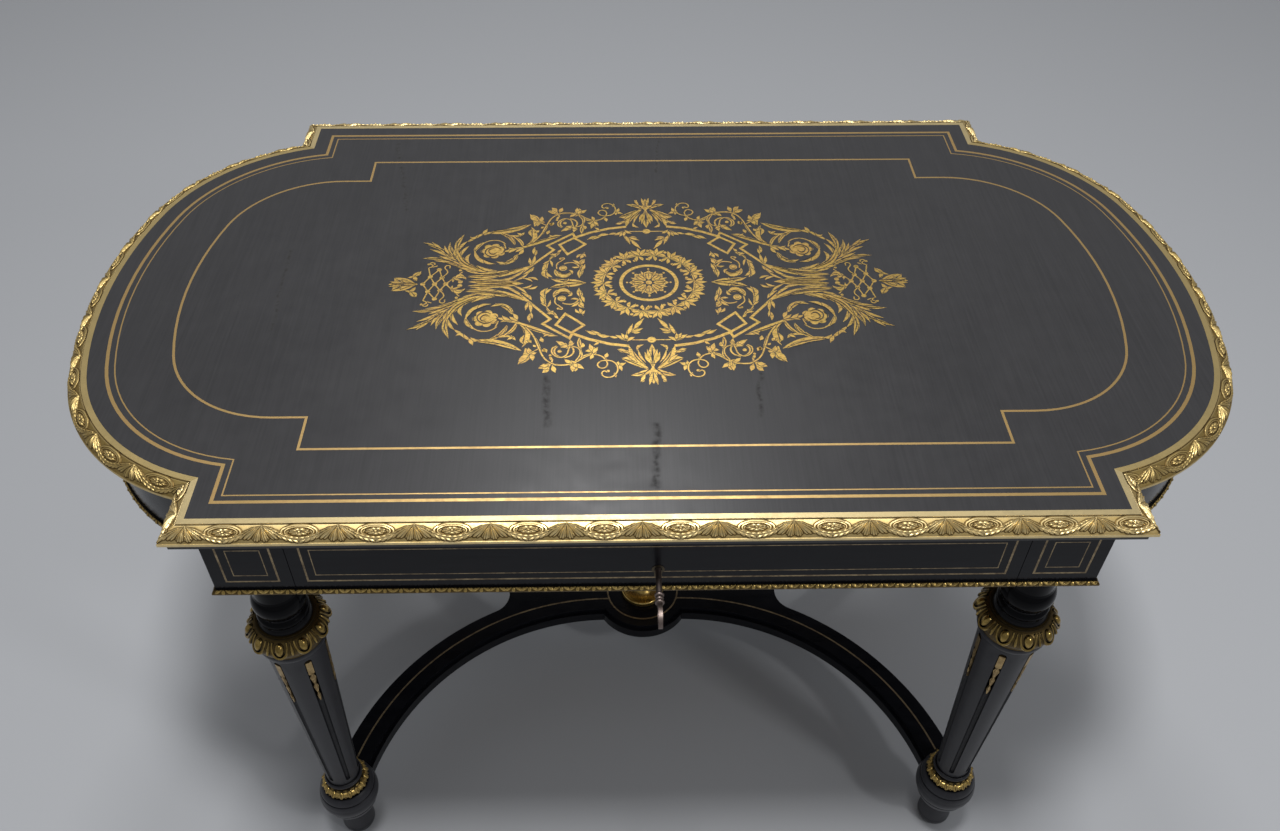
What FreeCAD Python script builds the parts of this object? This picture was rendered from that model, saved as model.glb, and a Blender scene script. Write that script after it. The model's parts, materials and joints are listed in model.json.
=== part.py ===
import FreeCAD, Part
import math
import os

# Ebonised centre table with a frieze drawer, gilt mounts, fluted legs and a shaped stretcher.
# Millimetres, +Z up, the drawer opens towards -Y. Everything is modelled about the middle of
# the top, and the finished pieces are moved so that the origin lies on the floor, midway
# between the back edge and the tip of the key.

Vector = FreeCAD.Vector
UP = Vector(0, 0, 1)

# Overall, measured over the gilt edge
TABLE_HEIGHT = 760.0
OVERALL_LENGTH = 1398.0
OVERALL_DEPTH = 814.0
END_REACH = 193.0
END_RADIUS = 623.0
SHOULDER_RADIUS = 263.0
SHOULDER_IN = 49.0

# Top panel, gilt edge and inlaid lines (lines are measured in from the gilt edge's inner side)
TOP_THICKNESS = 26.0
EDGE_WIDTH = 24.4
EDGE_DROP = 15.0
EDGE_BAND = 6.7
EDGE_LIP = 3.5
EDGE_GROOVE = 1.4
EDGE_BULGE = 1.6
EDGE_SEAT_DEPTH = 11.0
EDGE_COVER = 6.0
INLAY_DEPTH = 0.8
BROAD_LINE_IN = 21.7
BROAD_LINE_WIDTH = 4.0
FINE_LINE_IN = 30.8
FINE_LINE_WIDTH = 1.6
INNER_LINE_IN = 96.0
INNER_LINE_WIDTH = 3.0

# Frieze
OVERHANG = 25.4
FRIEZE_HEIGHT = 95.5
BLOCK_SIZE = 87.0
RAIL_THICKNESS = 22.0
END_RAIL_THICKNESS = 24.0
PANEL_LINE_IN = 15.2
PANEL_LINE_WIDTH = 2.2
PANEL_FINE_IN = 25.4
PANEL_FINE_WIDTH = 1.1
PANEL_LINE_DROP = 2.5
FRIEZE_MOUNT_HEIGHT = 8.0
FRIEZE_MOUNT_OUT = 4.2
FRIEZE_MOUNT_LEDGE = 5.0
FRIEZE_MOUNT_OVERLAP = 2.0

# Drawer
DRAWER_BACK_ROOM = 80.0
DRAWER_TRAVEL_GAP = 0.8
FRONT_THICKNESS = 22.0
FRONT_TOP_GAP = 1.2
SIDE_THICKNESS = 12.0
BACK_THICKNESS = 10.0
BOTTOM_THICKNESS = 7.0
BOTTOM_GROOVE = 5.0
BOTTOM_RISE = 5.0
BEARER_HEIGHT = 14.7
RAIL_WIDTH = 45.0
KICKER_HEIGHT = 20.5
RUNNER_LEDGE = 20.0
RUNNER_OUTSIDE = 25.0
GUIDE_HEIGHT = 32.0
RUNNING_GAP = 0.3
REAR_GAP = 2.0
TAIL_COUNT = 3
TAIL_LENGTH = 14.0
TAIL_ROOT = 8.0
TAIL_SPLAY = 2.2

# Lock, key and strike
KEY_HEIGHT = 29.5
LOCK_WIDTH = 64.0
LOCK_DEPTH = 12.0
LOCK_BELOW_KEY = 18.0
LOCK_PLATE = 2.5
BOLT_WIDTH = 30.0
BOLT_THICKNESS = 6.0
BOLT_THROW = 8.0
BOLT_LEG = 4.0
BOLT_LEG_DROP = 14.0
LOCK_CLEARANCE = 0.5
BIT_RADIUS = 9.5
BIT_THICKNESS = 3.0
STEM_RADIUS = 3.2
KEYHOLE_CLEARANCE = 0.7
ESCUTCHEON_RADIUS = 7.0
ESCUTCHEON_DEPTH = 1.0
ESCUTCHEON_PROUD = 0.6
KEY_OUTSIDE = 75.0
KEY_COLLAR_RADIUS = 5.2
KEY_COLLAR_LENGTH = 14.0
BOW_LENGTH = 29.0
BOW_HEIGHT = 24.0
BOW_WALL = 5.0
BOW_THICKNESS = 4.4
STRIKE_LENGTH = 56.0
STRIKE_WIDTH = 14.0
STRIKE_THICKNESS = 2.0

# Legs, from the floor upwards
TOE_RADIUS = 23.5
TOE_HEIGHT = 57.0
BALL_RADIUS = 42.0
BALL_HEIGHT = 69.0
NECKING_RADIUS = 22.3
NECKING_HEIGHT = 17.0
ANKLE_RING_RADIUS = 26.5
ANKLE_RING_HEIGHT = 8.0
SHAFT_BOTTOM_RADIUS = 22.8
SHAFT_TOP_RADIUS = 36.8
SHAFT_LENGTH = 337.0
SHAFT_RING_RADIUS = 42.5
SHAFT_RING_HEIGHT = 13.5
NECK_RADIUS = 32.0
COLLAR_RADIUS = 47.3
COLLAR_HEIGHT = 32.0
COLLAR_FIT = 0.1
LOWER_COLLAR_RADIUS = 31.4
LOWER_COLLAR_HEIGHT = 14.0
PIN_RADIUS = 15.0
PIN_LENGTH = 45.0
DOWEL_RADIUS = 9.0
DOWEL_LENGTH = 30.0
FLUTE_COUNT = 6
FLUTE_MARGIN = 14.0
FLUTE_TOP_RADIUS = 5.0
FLUTE_BOTTOM_RADIUS = 3.4
FLUTE_DEPTH_SHARE = 0.72
FLUTE_TURN = -115.0
FILLET_BAR = 25.0
FILLET_HUSK = 21.0
FILLET_HUSKS = 3
FILLET_WIDTH = 7.6
FILLET_PROUD = 0.5

# Stretcher and urn
STRETCHER_TOP = 116.0
STRETCHER_THICKNESS = 25.0
STRETCHER_STEP = 8.0
STRETCHER_STEP_IN = 5.0
ARM_WIDTH = 50.0
ARM_START_X = 60.0
ARM_START_Y = 17.0
ARM_TENON = 14.0
CROTCH_X = 222.0
HUB_RADIUS = 77.0
HUB_RING_RADIUS = 58.0
STRETCHER_LINE_WIDTH = 2.5
URN_BASE_RADIUS = 35.0
URN_BODY_RADIUS = 39.0
URN_BODY_HEIGHT = 104.0
URN_LID_HEIGHT = 46.0
URN_SPIGOT_RADIUS = 7.0

# Screws that hold the top down
SCREW_RADIUS = 2.2
SCREW_HEAD_RADIUS = 4.4
SCREW_HEAD_DEPTH = 3.0
SCREW_BITE = 12.0
SCREW_SPACING = 380.0

# Marquetry in the middle of the top
ROUNDEL_RADIUS = 37.5
ROUNDEL_WIDTH = 4.5
ROSETTE_PETALS = 8
ROSETTE_RADIUS = 25.0
ROSETTE_EYE = 4.0
WREATH_RADIUS = 55.0
WREATH_LEAVES = 24
WREATH_LEAF_LENGTH = 16.0
WREATH_LEAF_WIDTH = 6.5
STRAP_WIDTH = 4.4
FRET_WIDTH = 3.4
STRING_WIDTH = 1.6
ROSE_RADIUS = 11.0
ROSE_PETALS = 7
PETAL_RADIUS = 5.2
KNOT_RADIUS = 3.2

# Levels and places that follow from the sizes above
MIDDLE_LENGTH = OVERALL_LENGTH - 2 * END_REACH
UNDERSIDE = TABLE_HEIGHT - TOP_THICKNESS
FRIEZE_BOTTOM = UNDERSIDE - FRIEZE_HEIGHT
FRONT = -(OVERALL_DEPTH / 2 - OVERHANG)
BLOCK_OUT_X = MIDDLE_LENGTH / 2 - OVERHANG
BLOCK_OUT_Y = -FRONT
BLOCK_IN_X = BLOCK_OUT_X - BLOCK_SIZE
BLOCK_IN_Y = BLOCK_OUT_Y - BLOCK_SIZE
LEG_X = BLOCK_OUT_X - BLOCK_SIZE / 2
LEG_Y = BLOCK_OUT_Y - BLOCK_SIZE / 2
END_CENTRE = OVERALL_LENGTH / 2 - END_RADIUS
SHOULDER_Y = OVERALL_DEPTH / 2 - SHOULDER_IN - SHOULDER_RADIUS
SHOULDER_X = END_CENTRE + math.sqrt((END_RADIUS - SHOULDER_RADIUS) ** 2 - SHOULDER_Y ** 2)
SHOULDER_LEAN = math.degrees(math.atan2(SHOULDER_Y, SHOULDER_X - END_CENTRE))

DRAWER_X = BLOCK_IN_X - DRAWER_TRAVEL_GAP
DRAWER_TOP = UNDERSIDE - FRONT_TOP_GAP
FRONT_BACK = FRONT + FRONT_THICKNESS
RUN_LEVEL = FRIEZE_BOTTOM + BEARER_HEIGHT
SIDE_BOTTOM = RUN_LEVEL + RUNNING_GAP
SIDE_TOP = UNDERSIDE - KICKER_HEIGHT - RUNNING_GAP
DRAWER_REAR = BLOCK_OUT_Y - RAIL_THICKNESS - DRAWER_BACK_ROOM

KEY_Z = FRIEZE_BOTTOM + KEY_HEIGHT
LOCK_FRONT = FRONT_BACK - LOCK_DEPTH
LOCK_TOP = DRAWER_TOP - LOCK_CLEARANCE
BOLT_FRONT = FRONT_BACK - LOCK_DEPTH / 2 - BOLT_THICKNESS / 2
BOLT_BOTTOM = KEY_Z + BIT_RADIUS + LOCK_CLEARANCE - BOLT_THROW / 2

BALL_TOP = TOE_HEIGHT + BALL_HEIGHT
SHAFT_BOTTOM = BALL_TOP + NECKING_HEIGHT + ANKLE_RING_HEIGHT
SHAFT_TOP = SHAFT_BOTTOM + SHAFT_LENGTH
COLLAR_SEAT = SHAFT_TOP + SHAFT_RING_HEIGHT

LIP_TO_KEY_TIP = KEY_OUTSIDE - OVERHANG
ORIGIN_SHIFT = Vector(0, max(LIP_TO_KEY_TIP, 0.0) / 2, 0)


def box(low, high):
    """Box between two corners."""
    size = [b - a for a, b in zip(low, high)]
    return Part.makeBox(*size, Vector(*low))


def turned_by(shape, degrees, about=Vector(0, 0, 0), axis=UP):
    """Copy of a shape, turned about an axis."""
    copy = shape.copy()
    copy.rotate(about, axis, degrees)
    return copy


def moved_by(shape, x, y, z=0.0):
    """Copy of a shape, moved."""
    copy = shape.copy()
    copy.translate(Vector(x, y, z))
    return copy


def mirrored_x(shape):
    """Copy of a right-hand shape for the left."""
    return shape.mirror(Vector(0, 0, 0), Vector(1, 0, 0))


def mirrored_y(shape):
    """Copy of a front shape for the back."""
    return shape.mirror(Vector(0, 0, 0), Vector(0, 1, 0))


def four_ways(shape):
    """A shape and its mirrored copies in the other three quarters."""
    right = [shape, mirrored_y(shape)]
    return right + [mirrored_x(piece) for piece in right]


def joined(shapes):
    """One clean solid from touching or overlapping ones."""
    whole = shapes[0]
    if len(shapes) > 1:
        whole = whole.fuse(shapes[1:])
    return whole.removeSplitter()


def profile_face(points, place):
    """Closed face through points. A point of four values is reached by an arc through its last two."""
    corners = [place(p[0], p[1]) for p in points]
    edges = []
    for i, point in enumerate(points):
        start, end = corners[i - 1], corners[i]
        if len(point) == 4:
            edges.append(Part.Arc(start, place(point[2], point[3]), end).toShape())
        else:
            edges.append(Part.LineSegment(start, end).toShape())
    return Part.Face(Part.Wire(edges))


def turned(points):
    """Solid of revolution about Z from a profile of radius and height."""
    return profile_face(points, lambda r, z: Vector(r, 0, z)).revolve(Vector(0, 0, 0), UP, 360)


def keep_side(shape, p, q, inside):
    """The part of a shape on the same side of the upright plane through p and q as a point."""
    reach = 2 * OVERALL_LENGTH
    along = (q - p).normalize()
    away = Vector(-along.y, along.x, 0)
    if away.dot(inside - p) > 0:
        away = away * -1
    ends = [p + along * reach, p - along * reach]
    corners = [ends[0], ends[1], ends[1] + away * reach, ends[0] + away * reach]
    corners = [Vector(c.x, c.y, -reach) for c in corners]
    cutter = Part.Face(Part.makePolygon(corners + corners[:1])).extrude(UP * (2 * reach))
    return shape.cut(cutter)


# Plan of the top: every line of it lies at one distance inside the gilt lip

def step_corner(inset):
    """Where a straight return meets the round end."""
    x = MIDDLE_LENGTH / 2 - inset
    past = max(x - SHOULDER_X, 0.0)
    return Vector(x, SHOULDER_Y + math.sqrt((SHOULDER_RADIUS - inset) ** 2 - past ** 2), 0)


def outer_corner(inset):
    """Outside corner of the straight middle part."""
    return Vector(MIDDLE_LENGTH / 2 - inset, OVERALL_DEPTH / 2 - inset, 0)


def outline(inset, z):
    """Closed outline of the top at one distance inside the gilt lip."""
    outer, step = outer_corner(inset), step_corner(inset)
    radius = SHOULDER_RADIUS - inset
    start = math.degrees(math.atan2(step.y - SHOULDER_Y, max(step.x - SHOULDER_X, 0.0)))

    def on_shoulder(angle, side):
        turn = math.radians(angle)
        x = SHOULDER_X + radius * math.cos(turn)
        return Vector(x, side * (SHOULDER_Y + radius * math.sin(turn)), z)

    def line(a, b):
        return Part.LineSegment(a, b).toShape()

    angles = [start, (start + SHOULDER_LEAN) / 2, SHOULDER_LEAN]
    front = [on_shoulder(angle, -1) for angle in angles]
    back = [on_shoulder(angle, 1) for angle in reversed(angles)]
    steps = [Vector(step.x, -step.y, z), Vector(step.x, step.y, z)]
    edges = [line(Vector(-outer.x, -outer.y, z), Vector(outer.x, -outer.y, z)),
             line(Vector(outer.x, -outer.y, z), steps[0])]
    if step.x < SHOULDER_X:
        edges.append(line(steps[0], front[0]))
    edges.append(Part.Arc(*front).toShape())
    tip = Vector(OVERALL_LENGTH / 2 - inset, 0, z)
    edges.append(Part.Arc(front[2], tip, back[0]).toShape())
    edges.append(Part.Arc(*back).toShape())
    if step.x < SHOULDER_X:
        edges.append(line(back[2], steps[1]))
    edges.append(line(steps[1], Vector(outer.x, outer.y, z)))
    edges += [turned_by(edge, 180) for edge in edges]
    return Part.Wire(edges)


def plate(inset, bottom, top):
    """Plate with the top's outline."""
    return Part.Face(outline(inset, bottom)).extrude(UP * (top - bottom))


def outline_band(inset, width, bottom, top):
    """Band that follows the outline, centred on one distance inside the gilt lip."""
    return plate(inset - width / 2, bottom, top).cut(plate(inset + width / 2, bottom, top))


def straight_moulding(profile, start, end, outward):
    """Moulding along a straight line. Its profile is a list of distances outwards and heights."""
    face = profile_face(profile, lambda out, z: start + outward * out + UP * z)
    return face.extrude(end - start)


def end_moulding(profile, inset):
    """Moulding round the right-hand end, running on past both of its corners."""
    def swept(centre, radius, start, sweep):
        turn = math.radians(start)
        outward = Vector(math.cos(turn), math.sin(turn), 0)
        face = profile_face(profile, lambda out, z: centre + outward * (radius + out) + UP * z)
        return face.revolve(centre, UP, sweep)

    lean = SHOULDER_LEAN
    shoulder = SHOULDER_RADIUS - inset
    front = swept(Vector(SHOULDER_X, -SHOULDER_Y, 0), shoulder, -90, 90 - lean)
    middle = swept(Vector(END_CENTRE, 0, 0), END_RADIUS - inset, -lean, 2 * lean)
    start = Vector(END_CENTRE, -SHOULDER_Y - shoulder, 0)
    run = straight_moulding(profile, start, Vector(SHOULDER_X, start.y, 0), Vector(0, -1, 0))
    return joined([run, front, middle, mirrored_y(front), mirrored_y(run)])


# Top

def edge_profile():
    """Gilt edge: flat band, groove, swelling slope and a plain lip over the top's rebate."""
    band = -EDGE_WIDTH + EDGE_BAND
    slope_top = (band + 1.6, -EDGE_GROOVE + 0.3)
    slope_foot = (-1.2, -(EDGE_DROP - EDGE_LIP))
    middle = ((slope_top[0] + slope_foot[0]) / 2 + EDGE_BULGE / 2,
              (slope_top[1] + slope_foot[1]) / 2 + EDGE_BULGE)
    points = [(-EDGE_WIDTH, -EDGE_SEAT_DEPTH), (-EDGE_WIDTH, 0), (band, 0),
              (band + 0.6, -EDGE_GROOVE), slope_top, slope_foot + middle,
              (0, slope_foot[1] - 0.3), (0, -EDGE_DROP), (-EDGE_COVER, -EDGE_DROP),
              (-EDGE_COVER, -EDGE_SEAT_DEPTH)]
    return [(p[0], p[1] + TABLE_HEIGHT) if len(p) == 2
            else (p[0], p[1] + TABLE_HEIGHT, p[2], p[3] + TABLE_HEIGHT) for p in points]


def edge_mounts():
    """Gilt edge in its separate lengths, mitred at every corner."""
    profile = edge_profile()
    outer = [outer_corner(0), outer_corner(EDGE_WIDTH)]
    step = [step_corner(0), step_corner(EDGE_WIDTH)]
    middle_of_return = Vector(outer[0].x, (outer[0].y + step[0].y) / 2, 0)

    back = straight_moulding(profile, Vector(-outer[0].x, outer[0].y, 0), outer[0], Vector(0, 1, 0))
    back = keep_side(back, *outer, Vector(0, outer[0].y, 0))
    back = keep_side(back, *[Vector(-c.x, c.y, 0) for c in outer], Vector(0, outer[0].y, 0))
    inner_end = Vector(outer[0].x, step[1].y - EDGE_WIDTH, 0)
    piece = straight_moulding(profile, inner_end, outer[0], Vector(1, 0, 0))
    piece = keep_side(keep_side(piece, *outer, middle_of_return), *step, middle_of_return)
    tip = Vector(OVERALL_LENGTH / 2, 0, 0)
    end = keep_side(end_moulding(profile, 0), *step, tip)
    end = keep_side(end, *[Vector(c.x, -c.y, 0) for c in step], tip)
    return {
        "edge_mount_front": [mirrored_y(back)],
        "edge_mount_back": [back],
        "edge_mount_left": [mirrored_x(end)],
        "edge_mount_right": [end],
        "edge_mount_returns": four_ways(piece),
    }


def top_lines():
    """Three brass lines let into the top."""
    floor = TABLE_HEIGHT - INLAY_DEPTH
    lines = [(BROAD_LINE_IN, BROAD_LINE_WIDTH), (FINE_LINE_IN, FINE_LINE_WIDTH),
             (INNER_LINE_IN, INNER_LINE_WIDTH)]
    return [outline_band(EDGE_WIDTH + inset, width, floor, TABLE_HEIGHT) for inset, width in lines]


# Marquetry: flat brass forms. Points are distances from the middle, drawn in one quarter.

def inlay(face):
    """Brass form let into the top."""
    face.translate(UP * (TABLE_HEIGHT - INLAY_DEPTH))
    return face.extrude(UP * INLAY_DEPTH)


def flat(points):
    """Points of a flat drawing as vectors."""
    return [Vector(x, y, 0) for x, y in points]


def leaf(start, bend, tip, width):
    """Leaf with two pointed ends that bends through a point."""
    a, middle, b = flat([start, bend, tip])
    along = (b - a).normalize()
    side = Vector(-along.y, along.x, 0) * (width / 2)
    edges = [Part.Arc(a, middle + side, b).toShape(), Part.Arc(b, middle - side, a).toShape()]
    return inlay(Part.Face(Part.Wire(edges)))


def stem(start, bend, end, width):
    """Curved strip of one width."""
    path = Part.Arc(*flat([start, bend, end])).toShape().Curve

    def beside(side):
        share = 1 + side * width / 2 / path.Radius
        return [path.Center + (p - path.Center) * share for p in flat([start, bend, end])]

    outer, inner = beside(1), beside(-1)
    edges = [Part.Arc(*outer).toShape(), Part.LineSegment(outer[2], inner[2]).toShape(),
             Part.Arc(*reversed(inner)).toShape(), Part.LineSegment(inner[0], outer[0]).toShape()]
    return inlay(Part.Face(Part.Wire(edges)))


def strap(points, width):
    """Strip of one width along straight runs, with mitred corners."""
    path = flat(points)
    left, right = [], []
    for i, point in enumerate(path):
        runs = [(path[k + 1] - path[k]).normalize() for k in (i - 1, i) if 0 <= k < len(path) - 1]
        along = (runs[0] + runs[-1]).normalize()
        across = Vector(-along.y, along.x, 0) * (width / 2 / along.dot(runs[0]))
        left.append(point + across)
        right.append(point - across)
    corners = left + right[::-1]
    return inlay(Part.Face(Part.makePolygon(corners + corners[:1])))


def disc(x, y, radius):
    """Round brass form."""
    return Part.makeCylinder(radius, INLAY_DEPTH, Vector(x, y, TABLE_HEIGHT - INLAY_DEPTH))


def roundel():
    """Ring with a rosette in the middle and a wreath of paired leaves round it."""
    ring = disc(0, 0, ROUNDEL_RADIUS).cut(disc(0, 0, ROUNDEL_RADIUS - ROUNDEL_WIDTH))
    petal_start = ROSETTE_EYE * 1.4
    petal = leaf((petal_start, 0), (ROSETTE_RADIUS * 0.66, 0), (ROSETTE_RADIUS, 0), ROSETTE_RADIUS * 0.38)
    pieces = [ring, disc(0, 0, ROSETTE_EYE)]
    pieces += [turned_by(petal, 360.0 * i / ROSETTE_PETALS) for i in range(ROSETTE_PETALS)]
    for i in range(WREATH_LEAVES):
        side = 1 if i % 2 else -1
        tip = (WREATH_RADIUS + WREATH_LEAF_LENGTH * 0.8, side * WREATH_LEAF_LENGTH * 0.5)
        middle = (WREATH_RADIUS + WREATH_LEAF_LENGTH * 0.45, side * WREATH_LEAF_LENGTH * 0.18)
        spray = leaf((WREATH_RADIUS, 0), middle, tip, WREATH_LEAF_WIDTH)
        pieces.append(turned_by(spray, 360.0 * i / WREATH_LEAVES))
    return pieces


def strapwork():
    """Strap from the palmette, the fret that it ends in and the stepped strap outside it."""
    return [strap([(27, 122), (50, 118), (75, 109), (97, 97)], STRAP_WIDTH),
            strap([(92, 72), (81, 83), (96, 97), (105, 90)], FRET_WIDTH),
            strap([(105, 90), (115, 82), (104, 61), (92, 72)], FRET_WIDTH),
            strap([(95, 99), (98, 107), (131, 80), (122, 71), (149, 38), (162, 22)], FRET_WIDTH),
            strap([(26, 111), (0, 111)], STRING_WIDTH)]


def side_scroll():
    """Scroll with an eye, the leaf across the long axis and the leaves beside them."""
    return [leaf((124, 9), (104, 3), (79, 0), 9), leaf((119, 29), (107, 16), (97, 25), 9),
            disc(109, 31, PETAL_RADIUS), stem((117.5, 29), (116, 40), (110, 48), STRING_WIDTH),
            leaf((88, 11), (86, 22), (85, 40), 5.5), leaf((90, 40), (85, 46), (81, 50), 5),
            leaf((127, 9), (132, 22), (129, 46), 6), leaf((128, 52), (121, 58), (113, 69), 5)]


def rose_volute():
    """Rose in a ring of leaves, with the stem that it grows from."""
    x, y = 201.0, 69.0
    rose = [disc(x, y, ROSE_RADIUS)]
    for i in range(ROSE_PETALS):
        turn = 2 * math.pi * i / ROSE_PETALS
        rose.append(disc(x + ROSE_RADIUS * math.cos(turn), y + ROSE_RADIUS * math.sin(turn), PETAL_RADIUS))
    ring = [leaf((225, 70), (219, 53), (196, 41), 6), leaf((191, 40), (178, 46), (168, 62), 7),
            leaf((225, 66), (222, 79), (212, 89), 6), stem((214, 87), (200, 93), (186, 84), STRING_WIDTH)]
    branch = [leaf((188, 67), (175, 72), (158, 77), 6), leaf((168, 73), (143, 88), (112, 103), 7),
              leaf((166, 73), (151, 90), (154, 123), 7), stem((151, 86), (138, 108), (132, 128), 2.4),
              stem((132, 128), (127, 142), (117, 152), 2.0), leaf((162, 77), (166, 90), (176, 101), 4)]
    return rose + ring + branch


def acanthus():
    """Two long fronds of acanthus above and below the rose."""
    upper = [leaf((149, 38), (187, 19), (230, 16), 9), leaf((185, 23), (200, 25), (221, 38), 8),
             leaf((205, 24), (234, 41), (248, 72), 10), leaf((226, 30), (244, 38), (259, 44), 5),
             leaf((240, 40), (262, 51), (290, 54), 6), leaf((246, 48), (264, 62), (284, 74), 5),
             leaf((250, 52), (268, 72), (294, 88), 6), leaf((246, 52), (255, 68), (259, 88), 6),
             leaf((247, 62), (249, 82), (243, 105), 7), leaf((243, 56), (241, 68), (235, 80), 5),
             leaf((226, 36), (233, 48), (231, 63), 5)]
    lower = [leaf((214, 110), (185, 114), (154, 129), 10), leaf((196, 110), (182, 100), (173, 83), 6),
             leaf((190, 107), (177, 102), (164, 106), 4), leaf((238, 88), (228, 98), (214, 111), 5)]
    return upper + lower


def trellis():
    """Net of strings with knots, between the lotus and the palmette at each end of the long axis."""
    strings = [[(285, 0), (277, 15), (267, 30)], [(270, 0), (277, 15)], [(270, 0), (262, 13)],
               [(256, 0), (262, 13), (267, 30)], [(277, 15), (281, 33), (270, 38)], [(256, 0), (237, 25)]]
    knots = [(285, 0), (270, 0), (256, 0), (277, 15), (262, 13), (267, 30)]
    lotus = [leaf((247, 3), (240, 15), (231, 9), 6), leaf((228, 4), (195, 3), (158, 0), 11)]
    palmette = [leaf((291, 0), (309, 0), (328, 0), 13), leaf((296, 3), (308, 9), (323, 13), 6),
                leaf((294, 6), (297, 16), (291, 26), 6)]
    return ([strap(line, STRING_WIDTH) for line in strings] + [disc(x, y, KNOT_RADIUS) for x, y in knots]
            + lotus + palmette)


def short_palmette():
    """Palmette on the short axis, with its calyx, fronds and the bud inside the strap."""
    return [leaf((0, 119), (0, 138), (0, 162), 10), leaf((0, 158), (0, 173), (0, 188), 9),
            leaf((27, 122), (20, 144), (5, 162), 8), leaf((36, 145), (24, 151), (6, 163), 6),
            leaf((41, 128), (34, 131), (25, 134), 6), leaf((26, 174), (15, 172), (1, 164), 7),
            leaf((43, 104), (34, 107), (24, 112), 8), leaf((30, 102), (26, 92), (22, 81), 5),
            leaf((26, 98), (17, 86), (9, 72), 5), disc(0, 111, PETAL_RADIUS)]


def vine():
    """Curling vine under the strap, with its leaves."""
    return [stem((86, 108), (84, 124), (86, 146), 2.0), stem((88, 147), (104, 154), (120, 151), 2.0),
            stem((97, 121), (113, 137), (112, 122), 2.0), stem((84, 142), (68, 136), (54, 146), 2.0),
            leaf((113, 113), (105, 119), (98, 126), 8), leaf((72, 121), (70, 130), (70, 140), 9),
            leaf((98, 147), (93, 153), (90, 166), 9), leaf((133, 160), (126, 157), (118, 152), 7),
            leaf((150, 124), (147, 135), (157, 152), 9)]


def centre_marquetry():
    """Main brass forms of the marquetry."""
    quarter = strapwork() + side_scroll() + rose_volute() + acanthus() + trellis() + short_palmette() + vine()
    one = quarter[0].fuse(quarter[1:])
    whole = one.fuse(four_ways(one)[1:]).removeSplitter()
    return roundel() + whole.Solids


def screws():
    """Countersunk screws up through the kickers and the back rail's cleat."""
    head = UNDERSIDE - KICKER_HEIGHT
    shank = KICKER_HEIGHT + SCREW_BITE
    screw = turned([(0, head), (SCREW_HEAD_RADIUS, head), (SCREW_RADIUS, head + SCREW_HEAD_DEPTH),
                    (SCREW_RADIUS, head + shank - SCREW_RADIUS), (0, head + shank)])
    x = BLOCK_IN_X + RUNNER_OUTSIDE / 2
    return four_ways(moved_by(screw, x, SCREW_SPACING / 2))


def strike_plate():
    """Plate let into the underside of the top, with a slot for the bolt."""
    middle = BOLT_FRONT + BOLT_THICKNESS / 2
    body = box((-STRIKE_LENGTH / 2, middle - STRIKE_WIDTH / 2, UNDERSIDE),
               (STRIKE_LENGTH / 2, middle + STRIKE_WIDTH / 2, UNDERSIDE + STRIKE_THICKNESS))
    return body, body.cut(bolt_pocket())


def bolt_pocket():
    """Room for the thrown bolt above the drawer."""
    spare = LOCK_CLEARANCE
    reach = LOCK_TOP + BOLT_THROW + 2 * spare
    return box((-BOLT_WIDTH / 2 - spare, BOLT_FRONT - spare, UNDERSIDE),
               (BOLT_WIDTH / 2 + spare, BOLT_FRONT + BOLT_THICKNESS + spare, reach))


def table_top(inlays, plate_seat):
    """Top panel: rebated for the gilt edge and cut for inlay, screws and the bolt."""
    seat = TABLE_HEIGHT - EDGE_SEAT_DEPTH
    panel = joined([plate(EDGE_COVER, UNDERSIDE, seat), plate(EDGE_WIDTH, seat, TABLE_HEIGHT)])
    return panel.cut(inlays + screws() + [plate_seat, bolt_pocket()])


# Frieze

def frame_line(x, width_x, inset, width):
    """Rectangle of stringing on a frieze panel, seen from the front, at the front face."""
    def rectangle(margin):
        half = width_x / 2 - margin
        return box((x - half, FRONT, FRIEZE_BOTTOM + margin),
                   (x + half, FRONT + INLAY_DEPTH, UNDERSIDE - PANEL_LINE_DROP - margin))
    return rectangle(inset - width / 2).cut(rectangle(inset + width / 2))


def panel_lines(x, width_x):
    """Broad and fine rectangles of stringing on one panel."""
    return [frame_line(x, width_x, PANEL_LINE_IN, PANEL_LINE_WIDTH),
            frame_line(x, width_x, PANEL_FINE_IN, PANEL_FINE_WIDTH)]


def frieze_stringing():
    """Stringing of the four blocks and of the back rail."""
    block = panel_lines(LEG_X, BLOCK_SIZE)
    back = [mirrored_y(line) for line in panel_lines(0, 2 * BLOCK_IN_X)]
    return [piece for line in block for piece in four_ways(line)] + back


def corner_block(side_x, side_y, cuts):
    """Square block over a leg, bored for the leg's pin."""
    x, y = side_x * LEG_X, side_y * LEG_Y
    half = BLOCK_SIZE / 2
    block = box((x - half, y - half, FRIEZE_BOTTOM), (x + half, y + half, UNDERSIDE))
    bore = Part.makeCylinder(PIN_RADIUS, PIN_LENGTH, Vector(x, y, FRIEZE_BOTTOM))
    return block.cut([bore] + cuts)


def end_rail():
    """Bowed rail at the right-hand end, between the blocks."""
    profile = [(-END_RAIL_THICKNESS, FRIEZE_BOTTOM), (-END_RAIL_THICKNESS, UNDERSIDE),
               (0, UNDERSIDE), (0, FRIEZE_BOTTOM)]
    face = [Vector(BLOCK_OUT_X, -1, 0), Vector(BLOCK_OUT_X, 1, 0)]
    return keep_side(end_moulding(profile, OVERHANG), *face, Vector(OVERALL_LENGTH, 0, 0))


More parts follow.
